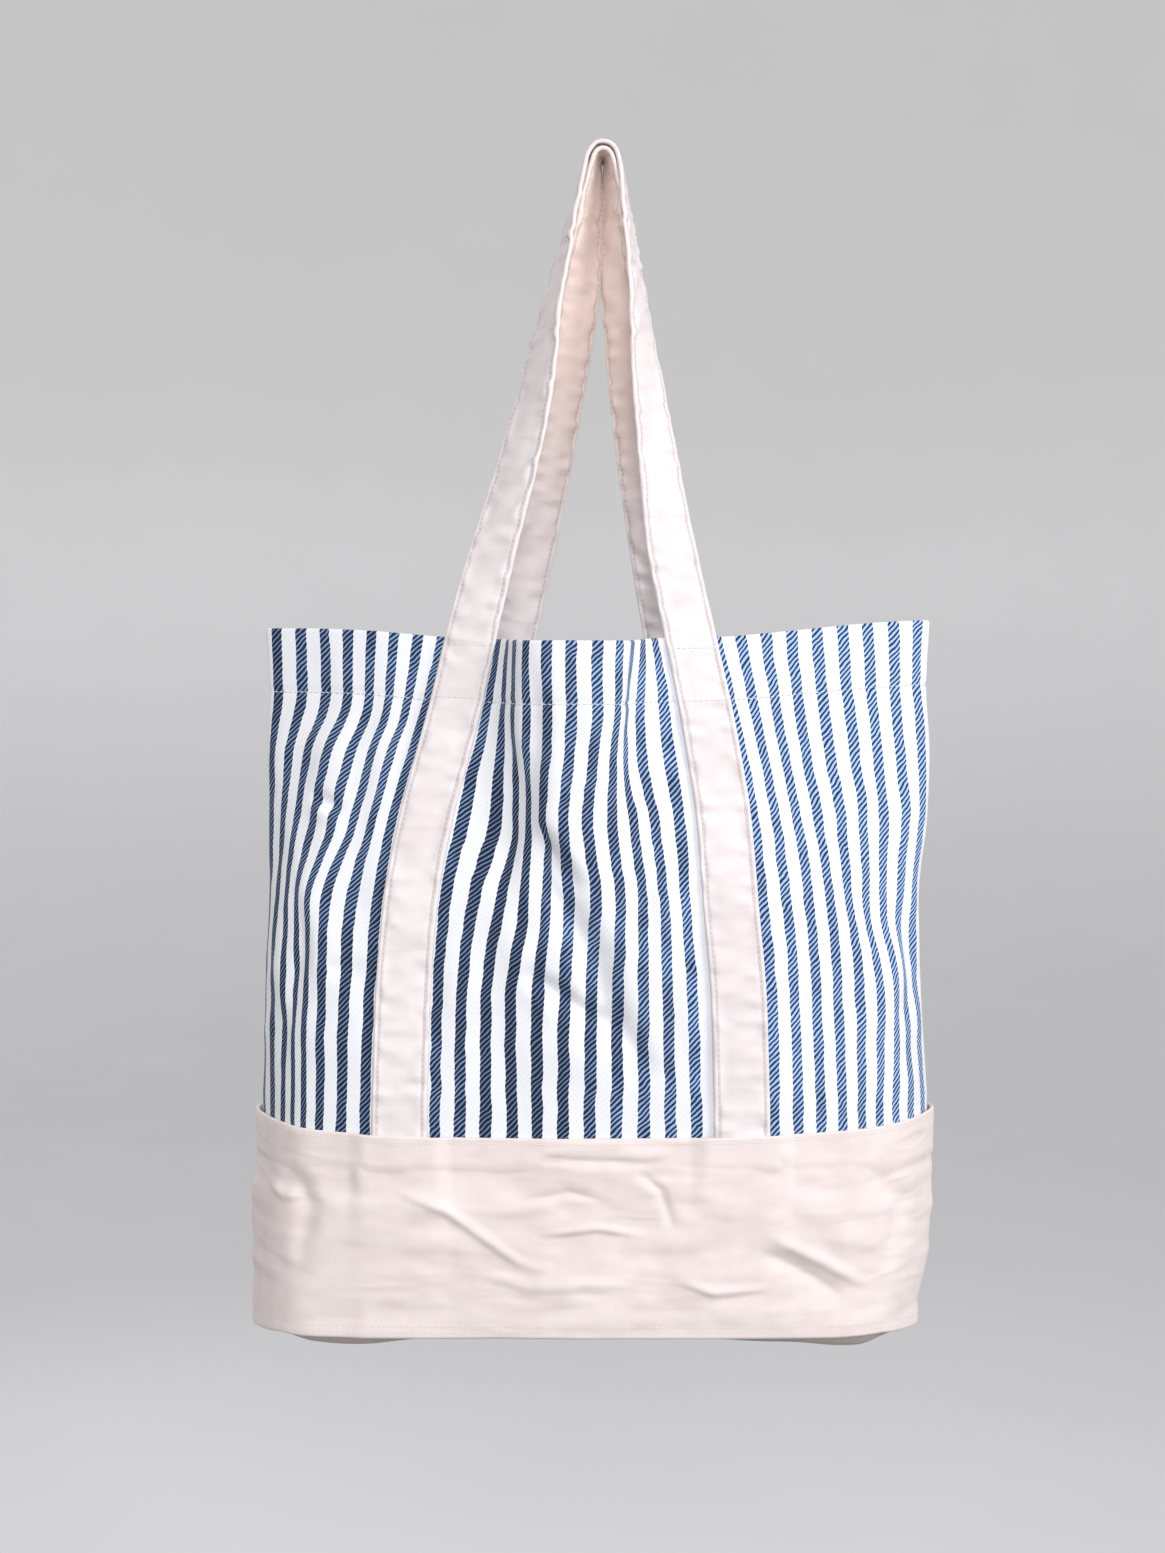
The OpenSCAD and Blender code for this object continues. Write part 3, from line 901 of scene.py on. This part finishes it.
def body_stitches(side, settings, material):
    """Rows round the hem, along the band's fold and along the base."""
    wall = WALLS[side]
    inset = settings.edge_inset / MM
    hem = [wall.at(run, HEM, -0.35) for run in between_straps(wall)]
    threads = np.arange(wall.first + 0.3, wall.last - 0.3, 0.05)
    lift = BAND_LIFT + 0.45
    top = [band_surface(wall, threads, band_top(wall, threads) + inset, lift)]
    rows = (inset, 2 * inset + 0.5)
    foot = [band_surface(wall, threads, band_foot(wall, threads) - up, lift) for up in rows]
    for name, lines in (("hem", hem), ("band", top), ("bottom", foot)):
        node = f"{side}_{name}_stitching"
        piece = stitch_piece(f"{side}_{name}_stitches", lines, settings, material, [node])
        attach(piece, "bag")


def strap_stitches(side, settings, cloth, material):
    """Rows along both edges of a strap, and across its legs at the rim and the hem."""
    strap = Strap(side, cloth.strap_thickness / MM)
    outer, inner = strap.face(True, 0.12), strap.face(False, 0.12)
    rows = [int(i) for i in np.flatnonzero(np.abs(ACROSS) == STITCH_LINE)]
    lines = [(outer[:, k], strap.normals[:, k]) for k in rows]
    free = strap.free_rows
    lines += [(inner[free, k], -strap.normals[free, k]) for k in rows]
    for rim, step in zip(strap.rims, (-1, 1)):
        for down in (5, HEM - 1):
            row = rim + step * round(down / STEP)
            lines.append((outer[row, 4:16], strap.normals[row, 4:16]))
    ends = ("left_strap", "right_strap", "handle")
    nodes = [f"{side}_{end}_stitching" for end in ends]
    piece = stitch_piece(f"{side}_strap_stitches", lines, settings, material, nodes)
    bend_at_rim(piece)


# ---- Materials ----


class Shade:
    """Short ways to add and join the nodes of one material or group."""

    def __init__(self, tree):
        self.tree = tree

    def add(self, kind, **settings):
        """A new node with its settings."""
        node = self.tree.nodes.new(kind)
        for key, value in settings.items():
            setattr(node, key, value)
        return node

    def feed(self, socket, value):
        """Links a socket to another, or sets its value."""
        if isinstance(value, bpy.types.NodeSocket):
            self.tree.links.new(value, socket)
        else:
            socket.default_value = value

    def math(self, operation, *values, clamp=False):
        """The result of a Math node."""
        node = self.add("ShaderNodeMath", operation=operation, use_clamp=clamp)
        for socket, value in zip(node.inputs, values):
            self.feed(socket, value)
        return node.outputs[0]

    def times(self, first, second):
        """The product of two values."""
        return self.math("MULTIPLY", first, second)

    def plus(self, first, second):
        """The sum of two values."""
        return self.math("ADD", first, second)

    def minus(self, first, second):
        """The first value less the second."""
        return self.math("SUBTRACT", first, second)

    def gap(self, first, second):
        """How far two values lie apart."""
        return self.math("ABSOLUTE", self.minus(first, second))

    def fit(self, value, times, plus, clamp=False):
        """A value multiplied, and then added to."""
        return self.math("MULTIPLY_ADD", value, times, plus, clamp=clamp)

    def mix(self, share, first, second):
        """A colour between two."""
        node = self.add("ShaderNodeMix", data_type="RGBA")
        colours = [c for c in node.inputs if c.type == "RGBA"]
        self.feed(node.inputs["Factor"], share)
        self.feed(colours[0], first)
        self.feed(colours[1], second)
        return next(out for out in node.outputs if out.type == "RGBA")

    def band(self, value, low, high, first=0.0, second=1.0):
        """A value carried smoothly from low..high to first..second."""
        node = self.add("ShaderNodeMapRange", interpolation_type="SMOOTHSTEP")
        for socket, entry in zip(node.inputs, (value, low, high, first, second)):
            self.feed(socket, entry)
        return node.outputs[0]

    def noise(self, vector, scale, detail=2.0):
        """Noise from 0 to 1."""
        node = self.add("ShaderNodeTexNoise")
        self.feed(node.inputs["Vector"], vector)
        self.feed(node.inputs["Scale"], scale)
        self.feed(node.inputs["Detail"], detail)
        return node.outputs["Fac"]

    def stretch(self, vector, x, y, z):
        """A vector stretched along its axes."""
        node = self.add("ShaderNodeVectorMath", operation="MULTIPLY")
        self.feed(node.inputs[0], vector)
        node.inputs[1].default_value = (x, y, z)
        return node.outputs[0]

    def split(self, vector):
        """The three parts of a vector."""
        node = self.add("ShaderNodeSeparateXYZ")
        self.feed(node.inputs[0], vector)
        return node.outputs[:3]

    def group(self, tree, **inputs):
        """A group in place, with its inputs."""
        node = self.add("ShaderNodeGroup", node_tree=tree)
        for name, value in inputs.items():
            self.feed(node.inputs[name], value)
        return node.outputs[0]


def node_group(name, inputs, output, build):
    """A shader node group with named inputs and one output, made once."""
    made = bpy.data.node_groups.get(name)
    if made:
        return made
    tree = bpy.data.node_groups.new(name, "ShaderNodeTree")
    for label, kind in inputs:
        tree.interface.new_socket(name=label, in_out="INPUT", socket_type=kind)
    tree.interface.new_socket(name=output, in_out="OUTPUT", socket_type="NodeSocketFloat")
    shade = Shade(tree)
    source = shade.add("NodeGroupInput")
    result = shade.add("NodeGroupOutput")
    shade.feed(result.inputs[0], build(shade, source.outputs))
    return tree


def twill_weave():
    """Diagonal ribs of a twill, from 0 in the grooves to 1 on the ribs."""

    def build(shade, source):
        x, y, _ = shade.split(source["Map"])
        drift = shade.noise(source["Map"], 0.12, 1.0)
        lean = shade.fit(x, -0.95, y)
        phase = shade.plus(drift, shade.math("DIVIDE", lean, source["Rib pitch"]))
        wave = shade.math("SINE", shade.times(phase, 2 * math.pi))
        weft = shade.math("SINE", shade.times(x, 2 * math.pi / 0.85))
        both = shade.fit(weft, 0.22, wave)
        return shade.fit(both, 0.41, 0.5, clamp=True)

    inputs = (("Map", "NodeSocketVector"), ("Rib pitch", "NodeSocketFloat"))
    return node_group("Twill weave", inputs, "Rib", build)


def plain_weave():
    """Over and under of a plain canvas, from 0 to 1."""

    def build(shade, source):
        x, y, _ = shade.split(source["Map"])
        waves = []
        for part in (x, y):
            slack = shade.noise(source["Map"], 0.35, 1.0)
            turned = shade.math("DIVIDE", part, source["Yarn pitch"])
            angle = shade.times(shade.plus(turned, slack), math.pi)
            waves.append(shade.math("SINE", angle))
        product = shade.times(waves[0], waves[1])
        return shade.fit(product, 0.5, 0.5)

    inputs = (("Map", "NodeSocketVector"), ("Yarn pitch", "NodeSocketFloat"))
    return node_group("Plain weave", inputs, "Height", build)


def slubs():
    """Thick places in single yarns, both ways of the cloth."""

    def build(shade, source):
        across = shade.noise(shade.stretch(source["Map"], 0.06, 1.1, 1.0), 1.0, 2.0)
        down = shade.noise(shade.stretch(source["Map"], 1.1, 0.06, 1.0), 1.0, 2.0)
        return shade.band(shade.math("MAXIMUM", across, down), source["Least"], 0.82)

    inputs = (("Map", "NodeSocketVector"), ("Least", "NodeSocketFloat"))
    return node_group("Slubs", inputs, "Slub", build)


def mottle():
    """Soft uneven patches of a washed cloth."""

    def build(shade, source):
        wide = shade.noise(source["Place"], source["Scale"], 3.0)
        fine = shade.noise(source["Place"], shade.times(source["Scale"], 6.5), 2.0)
        both = shade.fit(fine, 0.4, shade.times(wide, 0.6))
        return shade.band(both, 0.34, 0.66)

    inputs = (("Place", "NodeSocketVector"), ("Scale", "NodeSocketFloat"))
    return node_group("Mottle", inputs, "Patch", build)


def crumple():
    """Fine creases left by washing, mostly across the cloth."""

    def build(shade, source):
        bent = shade.stretch(source["Map"], 0.014, 0.055, 1.0)
        ridge = shade.noise(bent, source["Scale"], 1.5)
        fold = shade.band(shade.gap(ridge, 0.5), 0.13, 0.0)
        pressed = shade.band(shade.noise(bent, 0.45, 1.0), 0.4, 0.62)
        return shade.times(fold, pressed)

    inputs = (("Map", "NodeSocketVector"), ("Scale", "NodeSocketFloat"))
    return node_group("Crumple", inputs, "Height", build)


def new_material(name, roughness, sheen):
    """A material with its plain constants set, and the short ways to finish it."""
    material = bpy.data.materials.new(name)
    material.use_nodes = True
    shade = Shade(material.node_tree)
    surface = material.node_tree.nodes["Principled BSDF"]
    surface.inputs["Roughness"].default_value = roughness
    surface.inputs["Specular IOR Level"].default_value = 0.25
    surface.inputs["Sheen Weight"].default_value = sheen
    surface.inputs["Sheen Roughness"].default_value = 0.45
    return material, shade, surface


def cloth_place(shade):
    """The piece's own cloth map in millimetres, and its place in metres."""
    cloth_map = shade.add("ShaderNodeUVMap", uv_map="Cloth").outputs[0]
    place = shade.add("ShaderNodeTexCoord").outputs["Object"]
    return shade.stretch(cloth_map, 1000, 1000, 1000), place


def raise_surface(shade, surface, height, distance, strength=1.0):
    """Feeds a height to the surface's normal."""
    bump = shade.add("ShaderNodeBump")
    bump.inputs["Distance"].default_value = distance
    bump.inputs["Strength"].default_value = strength
    shade.feed(bump.inputs["Height"], height)
    shade.feed(surface.inputs["Normal"], bump.outputs[0])


def colour(value, share=1.0):
    """A colour setting as red, green, blue and alpha."""
    return (*(part * share for part in value), 1.0)


def striped_twill(settings):
    """Blue twill stripes on a white ground, woven with a right-hand rib."""
    material, shade, surface = new_material("Striped twill", 0.82, 0.12)
    cloth_map, place = cloth_place(shade)
    rib = shade.group(twill_weave(), **{"Map": cloth_map, "Rib pitch": 3.3})
    patch = shade.group(mottle(), Place=place, Scale=9.0)
    slub = shade.group(slubs(), Map=cloth_map, Least=0.62)
    x, _, _ = shade.split(cloth_map)
    pitch = settings.stripe_pitch / MM
    turned = shade.fit(x, 1 / pitch, 200.5)
    from_middle = shade.gap(shade.math("FRACT", turned), 0.5)
    ragged = shade.fit(rib, 0.018, from_middle)
    half = settings.stripe_share / 2
    blue = shade.band(ragged, half + 0.016, half + 0.002)
    # painted light: the stripes turn paler towards the right and towards the top, where the key light
    # falls, with random patches of tone
    px, _, pz = shade.split(place)
    across = shade.fit(px, 2.4, 0.55)
    ramp = shade.fit(pz, 0.9, shade.plus(across, 0.42))
    ramp = shade.fit(patch, 0.45, shade.minus(ramp, 0.25))
    # painted shade: the stripes are darker in the deep fold beside the left strap
    from_fold = shade.math("ABSOLUTE", shade.plus(px, 0.05))
    ramp = shade.minus(ramp, shade.band(from_fold, 0.034, 0.004, 0.0, 0.3))
    ramp = shade.band(ramp, 0.0, 1.0)
    low = shade.band(ramp, 0.0, 1.0, 0.58, 0.34)
    yarn = shade.band(rib, low, shade.plus(low, 0.3))
    pale = shade.mix(ramp, colour(settings.stripe_pale, 0.38), colour(settings.stripe_pale))
    deep = shade.mix(ramp, colour(settings.stripe_dark, 0.8), colour(settings.stripe_dark, 1.9))
    stripe = shade.mix(yarn, deep, pale)
    groove = shade.times(shade.minus(1.0, rib), 0.14)
    ground = shade.mix(groove, colour(settings.ground), colour(settings.ground, 0.62))
    ground = shade.mix(shade.times(slub, 0.3), ground, colour(settings.ground, 0.85))
    shade.feed(surface.inputs["Base Color"], shade.mix(blue, ground, stripe))
    rough = shade.band(rib, 0.0, 1.0, 0.9, 0.74)
    shade.feed(surface.inputs["Roughness"], rough)
    ribbed = shade.times(rib, shade.band(blue, 0, 1, 0.55, 1.0))
    height = shade.fit(slub, 0.6, ribbed)
    raise_surface(shade, surface, height, 0.00022, 0.7)
    return material


def canvas_finish(name, settings, light, dull, yarn_pitch, handle_shade=None):
    """Washed canvas: plain weave, slubs, patches and fine creases.

    On a strap, `handle_shade` is how far along it the middle of the handle lies, round which its inner
    face gets painted shade.
    """
    material, shade, surface = new_material(name, 0.86, 0.15)
    cloth_map, place = cloth_place(shade)
    weave = shade.group(plain_weave(), **{"Map": cloth_map, "Yarn pitch": yarn_pitch})
    patch = shade.group(mottle(), Place=place, Scale=13.0)
    slub = shade.group(slubs(), Map=cloth_map, Least=0.66)
    creases = shade.group(crumple(), Map=cloth_map, Scale=1.0)
    base = shade.mix(shade.times(patch, 0.36), colour(light), colour(dull))
    base = shade.mix(shade.times(slub, 0.35), base, colour(dull))
    gaps = shade.times(shade.minus(1.0, weave), 0.14)
    base = shade.mix(gaps, base, colour(dull, 0.72))
    if handle_shade:
        # painted shade: near the handle's middle the strap's inner face turns darker and warmer
        girth, run, _ = shade.split(cloth_map)
        middle = shade.gap(run, handle_shade)
        held = shade.band(middle, 330.0, 110.0)
        shaded_underside = shade.band(girth, STRAP_WIDTH - 1.0, STRAP_WIDTH + 1.0, 0.1, 0.75)
        share = shade.times(held, shaded_underside)
        share = shade.times(share, shade.band(patch, 0.0, 1.0, 0.8, 1.0))
        base = shade.mix(share, base, colour(settings.handle_shade))
        from_edge = shade.math("PINGPONG", girth, float(STRAP_WIDTH))
        out = shade.gap(from_edge, EDGE)
        # painted shade: a darker line along each row of stitches, where the thread pulls the canvas
        # into a groove
        from_stitches = shade.gap(out, float(STITCH_LINE))
        base = shade.mix(shade.band(from_stitches, 1.3, 0.3, 0.0, 0.6), base, colour(dull, 0.78))
        # partly wear and partly a painted highlight: the strap's folded edges turn towards the white
        # ground colour
        worn = shade.band(out, EDGE - 1.0, EDGE, 0.0, 0.25)
        base = shade.mix(worn, base, colour(settings.ground))
    shade.feed(surface.inputs["Base Color"], base)
    shade.feed(surface.inputs["Roughness"], shade.band(weave, 0.0, 1.0, 0.93, 0.8))
    fine = shade.fit(slub, 0.5, weave)
    height = shade.fit(creases, 3.0, fine)
    raise_surface(shade, surface, height, 0.00016, 0.75)
    return material


def sewing_thread(settings):
    """Twisted cotton thread."""
    material, shade, surface = new_material("Sewing thread", 0.6, 0.2)
    place = shade.add("ShaderNodeTexCoord").outputs["Object"]
    x, y, z = shade.split(place)
    lean = shade.plus(shade.plus(x, y), z)
    twist = shade.math("SINE", shade.times(lean, 11000.0))
    ply = shade.fit(twist, 0.5, 0.5)
    patch = shade.group(mottle(), Place=place, Scale=60.0)
    worn = shade.times(patch, 0.5)
    tone = shade.mix(worn, colour(settings.thread), colour(settings.thread, 0.82))
    tone = shade.mix(shade.times(ply, 0.25), tone, colour(settings.thread, 0.6))
    shade.feed(surface.inputs["Base Color"], tone)
    raise_surface(shade, surface, ply, 0.0001)
    return material


def overlock(cloth, sewing):
    """Cut edges of the seam allowances, wrapped in overlock loops."""
    material, shade, surface = new_material("Overlocked edge", 0.8, 0.15)
    cloth_map, place = cloth_place(shade)
    x, y, _ = shade.split(cloth_map)
    patch = shade.group(mottle(), Place=place, Scale=40.0)
    zigzag = shade.math("PINGPONG", shade.times(y, 2.6), 4.0)
    away = shade.gap(shade.minus(x, 4.5), zigzag)
    loops = shade.band(away, 1.0, 0.45)
    chain = shade.band(shade.gap(x, 4.2), 0.8, 0.4)
    thread = shade.math("MAXIMUM", loops, chain)
    under = shade.mix(patch, colour(cloth.ground, 0.8), colour(cloth.ground, 0.62))
    shade.feed(surface.inputs["Base Color"], shade.mix(thread, under, colour(sewing.thread)))
    raise_surface(shade, surface, thread, 0.0004)
    return material


# ---- Operators ----


class ToteOperator:
    """What the operators that make pieces share."""

    bl_options = {"REGISTER", "UNDO"}

    @staticmethod
    def settings(context):
        """The cloth and sewing settings."""
        return context.scene.tote_cloth, context.scene.tote_sewing


class TOTE_OT_panels(ToteOperator, bpy.types.Operator):
    """Adds the front and back panels of striped twill"""

    bl_idname = "tote.panels"
    bl_label = "Striped panels"

    def execute(self, context):
        cloth, _ = self.settings(context)
        material = striped_twill(cloth)
        for side in WALLS:
            striped_panel(side, cloth, material)
        return {"FINISHED"}


class TOTE_OT_bands(ToteOperator, bpy.types.Operator):
    """Adds the two canvas base bands and the bottom"""

    bl_idname = "tote.bands"
    bl_label = "Base bands and bottom"

    def execute(self, context):
        cloth, _ = self.settings(context)
        material = canvas_finish("Canvas", cloth, cloth.canvas, cloth.canvas_shade, 0.55)
        for side in WALLS:
            base_band(side, cloth, material)
        # painted shade: the bottom is cut from a darker copy of the canvas, for the shade under the bag
        shaded_underside = [tone * 0.62 for tone in cloth.canvas]
        bottom(cloth, canvas_finish("Canvas underside", cloth, shaded_underside, cloth.canvas_shade, 0.55))
        return {"FINISHED"}


class TOTE_OT_seams(ToteOperator, bpy.types.Operator):
    """Adds the overlocked side seams inside the bag"""

    bl_idname = "tote.seams"
    bl_label = "Side seams"

    def execute(self, context):
        cloth, sewing = self.settings(context)
        material = overlock(cloth, sewing)
        for side in ("left", "right"):
            side_seam(side, cloth, material)
        return {"FINISHED"}


class TOTE_OT_straps(ToteOperator, bpy.types.Operator):
    """Adds the two shoulder straps, each in one length"""

    bl_idname = "tote.straps"
    bl_label = "Shoulder straps"

    def execute(self, context):
        cloth, _ = self.settings(context)
        for side in WALLS:
            middle = Strap(side, cloth.strap_thickness / MM).run[-1] / 2
            name = f"Strap canvas, {side}"
            finish = canvas_finish(name, cloth, cloth.strap, cloth.strap_shade, 0.6, float(middle))
            strap_piece(side, cloth, finish)
        return {"FINISHED"}


class TOTE_OT_stitches(ToteOperator, bpy.types.Operator):
    """Sews the hem, the bands, the base and the straps"""

    bl_idname = "tote.stitches"
    bl_label = "Stitching"

    def execute(self, context):
        cloth, sewing = self.settings(context)
        thread = sewing_thread(sewing)
        for side in WALLS:
            body_stitches(side, sewing, thread)
            strap_stitches(side, sewing, cloth, thread)
        return {"FINISHED"}


# The camera's x and z in metres, and its lens and sensor width in millimetres
CAMERA_X, CAMERA_Z = -0.0123, -0.3795
LENS, SENSOR = 42.48, 36.0
# The point that the lights aim at
BAG_MIDDLE = (0, 0, -0.42)


def soft_light(name, power, size, place, target=BAG_MIDDLE):
    """A square area light that points at a place."""
    deselect()
    bpy.ops.object.light_add(type="AREA", location=place)
    light = bpy.context.object
    light.name = name
    light.data.energy = power
    light.data.size = size
    light.data.spread = math.radians(110)
    toward = Vector(target) - Vector(place)
    light.rotation_euler = toward.to_track_quat("-Z", "Y").to_euler()


def backdrop(settings):
    """Pale floor that curves up into a wall all round, so that every side looks the same."""
    floor_z, wall, bend = -1250, 6500, 2500
    turns = np.linspace(0, math.pi / 2, 20)
    path = [(r, floor_z) for r in np.linspace(60, wall - bend - 100, 10)]
    path += [(wall - bend + bend * math.sin(t), floor_z + bend * (1 - math.cos(t))) for t in turns]
    path += [(wall, z) for z in np.linspace(1700, 6000, 5)]
    around = np.linspace(0, 2 * math.pi, 65)
    points = np.array([[(r * math.cos(a), r * math.sin(a), z) for a in around] for r, z in path])
    cloth_map = np.stack(np.meshgrid(around * 1000, np.arange(len(path)) * 100.0), axis=-1)
    floor = grid_piece("floor", points, cloth_map)

    def close():
        bpy.ops.mesh.remove_doubles(threshold=1e-4)
        bpy.ops.mesh.select_all(action="SELECT")
        bpy.ops.mesh.fill_holes(sides=64)

    edit(floor, close)
    material, shade, surface = new_material("Backdrop paper", 0.95, 0.0)
    surface.inputs["Specular IOR Level"].default_value = 0.0
    surface.inputs["Emission Color"].default_value = (1.0, 1.0, 1.0, 1.0)
    surface.inputs["Emission Strength"].default_value = 0.09
    place = shade.add("ShaderNodeTexCoord").outputs["Object"]
    grain = shade.group(mottle(), Place=place, Scale=0.8)
    _, _, height = shade.split(place)
    floor_share = shade.band(height, 0.6, -1.25, 0.0, 0.92)
    share = shade.fit(grain, 0.05, floor_share)
    tone = shade.mix(share, colour(settings.backdrop), colour(settings.backdrop, 0.69))
    shade.feed(surface.inputs["Base Color"], tone)
    floor.data.materials.clear()
    floor.data.materials.append(material)
    smooth_shade(floor, 180)
    # the room light passes through the paper, so the bag is lit evenly from every side
    floor.visible_diffuse = False
    floor.visible_shadow = False


class TOTE_OT_stage(ToteOperator, bpy.types.Operator):
    """Adds the floor and backdrop, soft lights and the camera"""

    bl_idname = "tote.stage"
    bl_label = "Floor, lights and camera"

    def execute(self, context):
        settings = context.scene.tote_stage
        backdrop(settings)
        soft_light("key_light", settings.key_power, 0.9, (1.5, -1.15, 0.4))
        soft_light("front_light", settings.front_power, 0.7, (0.1, -2.1, 0.15))
        soft_light("back_light", settings.back_power, 1.2, (-1.3, 2.0, 0.5))
        world = bpy.data.worlds.new("Room light")
        world.use_nodes = True
        shade = Shade(world.node_tree)
        background = world.node_tree.nodes["Background"]
        _, _, up = shade.split(shade.add("ShaderNodeTexCoord").outputs["Generated"])
        from_below = shade.band(up, 0.1, -0.6)
        light = shade.mix(from_below, (0.985, 0.985, 1.0, 1.0), (0.5, 0.49, 0.47, 1.0))
        shade.feed(background.inputs["Color"], light)
        background.inputs["Strength"].default_value = settings.sky
        context.scene.world = world
        context.scene.view_settings.view_transform = "Standard"
        deselect()
        place = (CAMERA_X, -settings.camera_distance, CAMERA_Z)
        bpy.ops.object.camera_add(location=place, rotation=(math.pi / 2, 0, 0))
        camera = context.object
        camera.data.sensor_width = SENSOR
        camera.data.lens = LENS
        context.scene.camera = camera
        return {"FINISHED"}


class TOTE_PT_bag(bpy.types.Panel):
    """Lists the bag's pieces in the 3D view's sidebar."""

    bl_label = "Tote bag"
    bl_idname = "TOTE_PT_bag"
    bl_space_type = "VIEW_3D"
    bl_region_type = "UI"
    bl_category = "Tote bag"

    def draw(self, context):
        column = self.layout.column(align=True)
        for operator in OPERATORS:
            column.operator(operator.bl_idname)
        for settings in (context.scene.tote_cloth, context.scene.tote_sewing, context.scene.tote_stage):
            for name in settings.__annotations__:
                self.layout.prop(settings, name)


OPERATORS = (
    TOTE_OT_panels,
    TOTE_OT_bands,
    TOTE_OT_seams,
    TOTE_OT_straps,
    TOTE_OT_stitches,
    TOTE_OT_stage,
)
GROUPS = {
    "tote_cloth": ToteClothSettings,
    "tote_sewing": ToteSewingSettings,
    "tote_stage": ToteStageSettings,
}


def register():
    """Makes the settings, operators and panel known to Blender."""
    for cls in (*GROUPS.values(), *OPERATORS, TOTE_PT_bag):
        bpy.utils.register_class(cls)
    for name, group in GROUPS.items():
        setattr(bpy.types.Scene, name, bpy.props.PointerProperty(type=group))


def unregister():
    """Takes them away again."""
    for name in GROUPS:
        delattr(bpy.types.Scene, name)
    for cls in (TOTE_PT_bag, *reversed(OPERATORS), *reversed(GROUPS.values())):
        bpy.utils.unregister_class(cls)


def main():
    """Builds the bag and its stage."""
    register()
    bpy.ops.tote.panels()
    bpy.ops.tote.bands()
    bpy.ops.tote.seams()
    bpy.ops.tote.straps()
    bpy.ops.tote.stitches()
    bpy.ops.tote.stage()


if __name__ == "__main__":
    main()
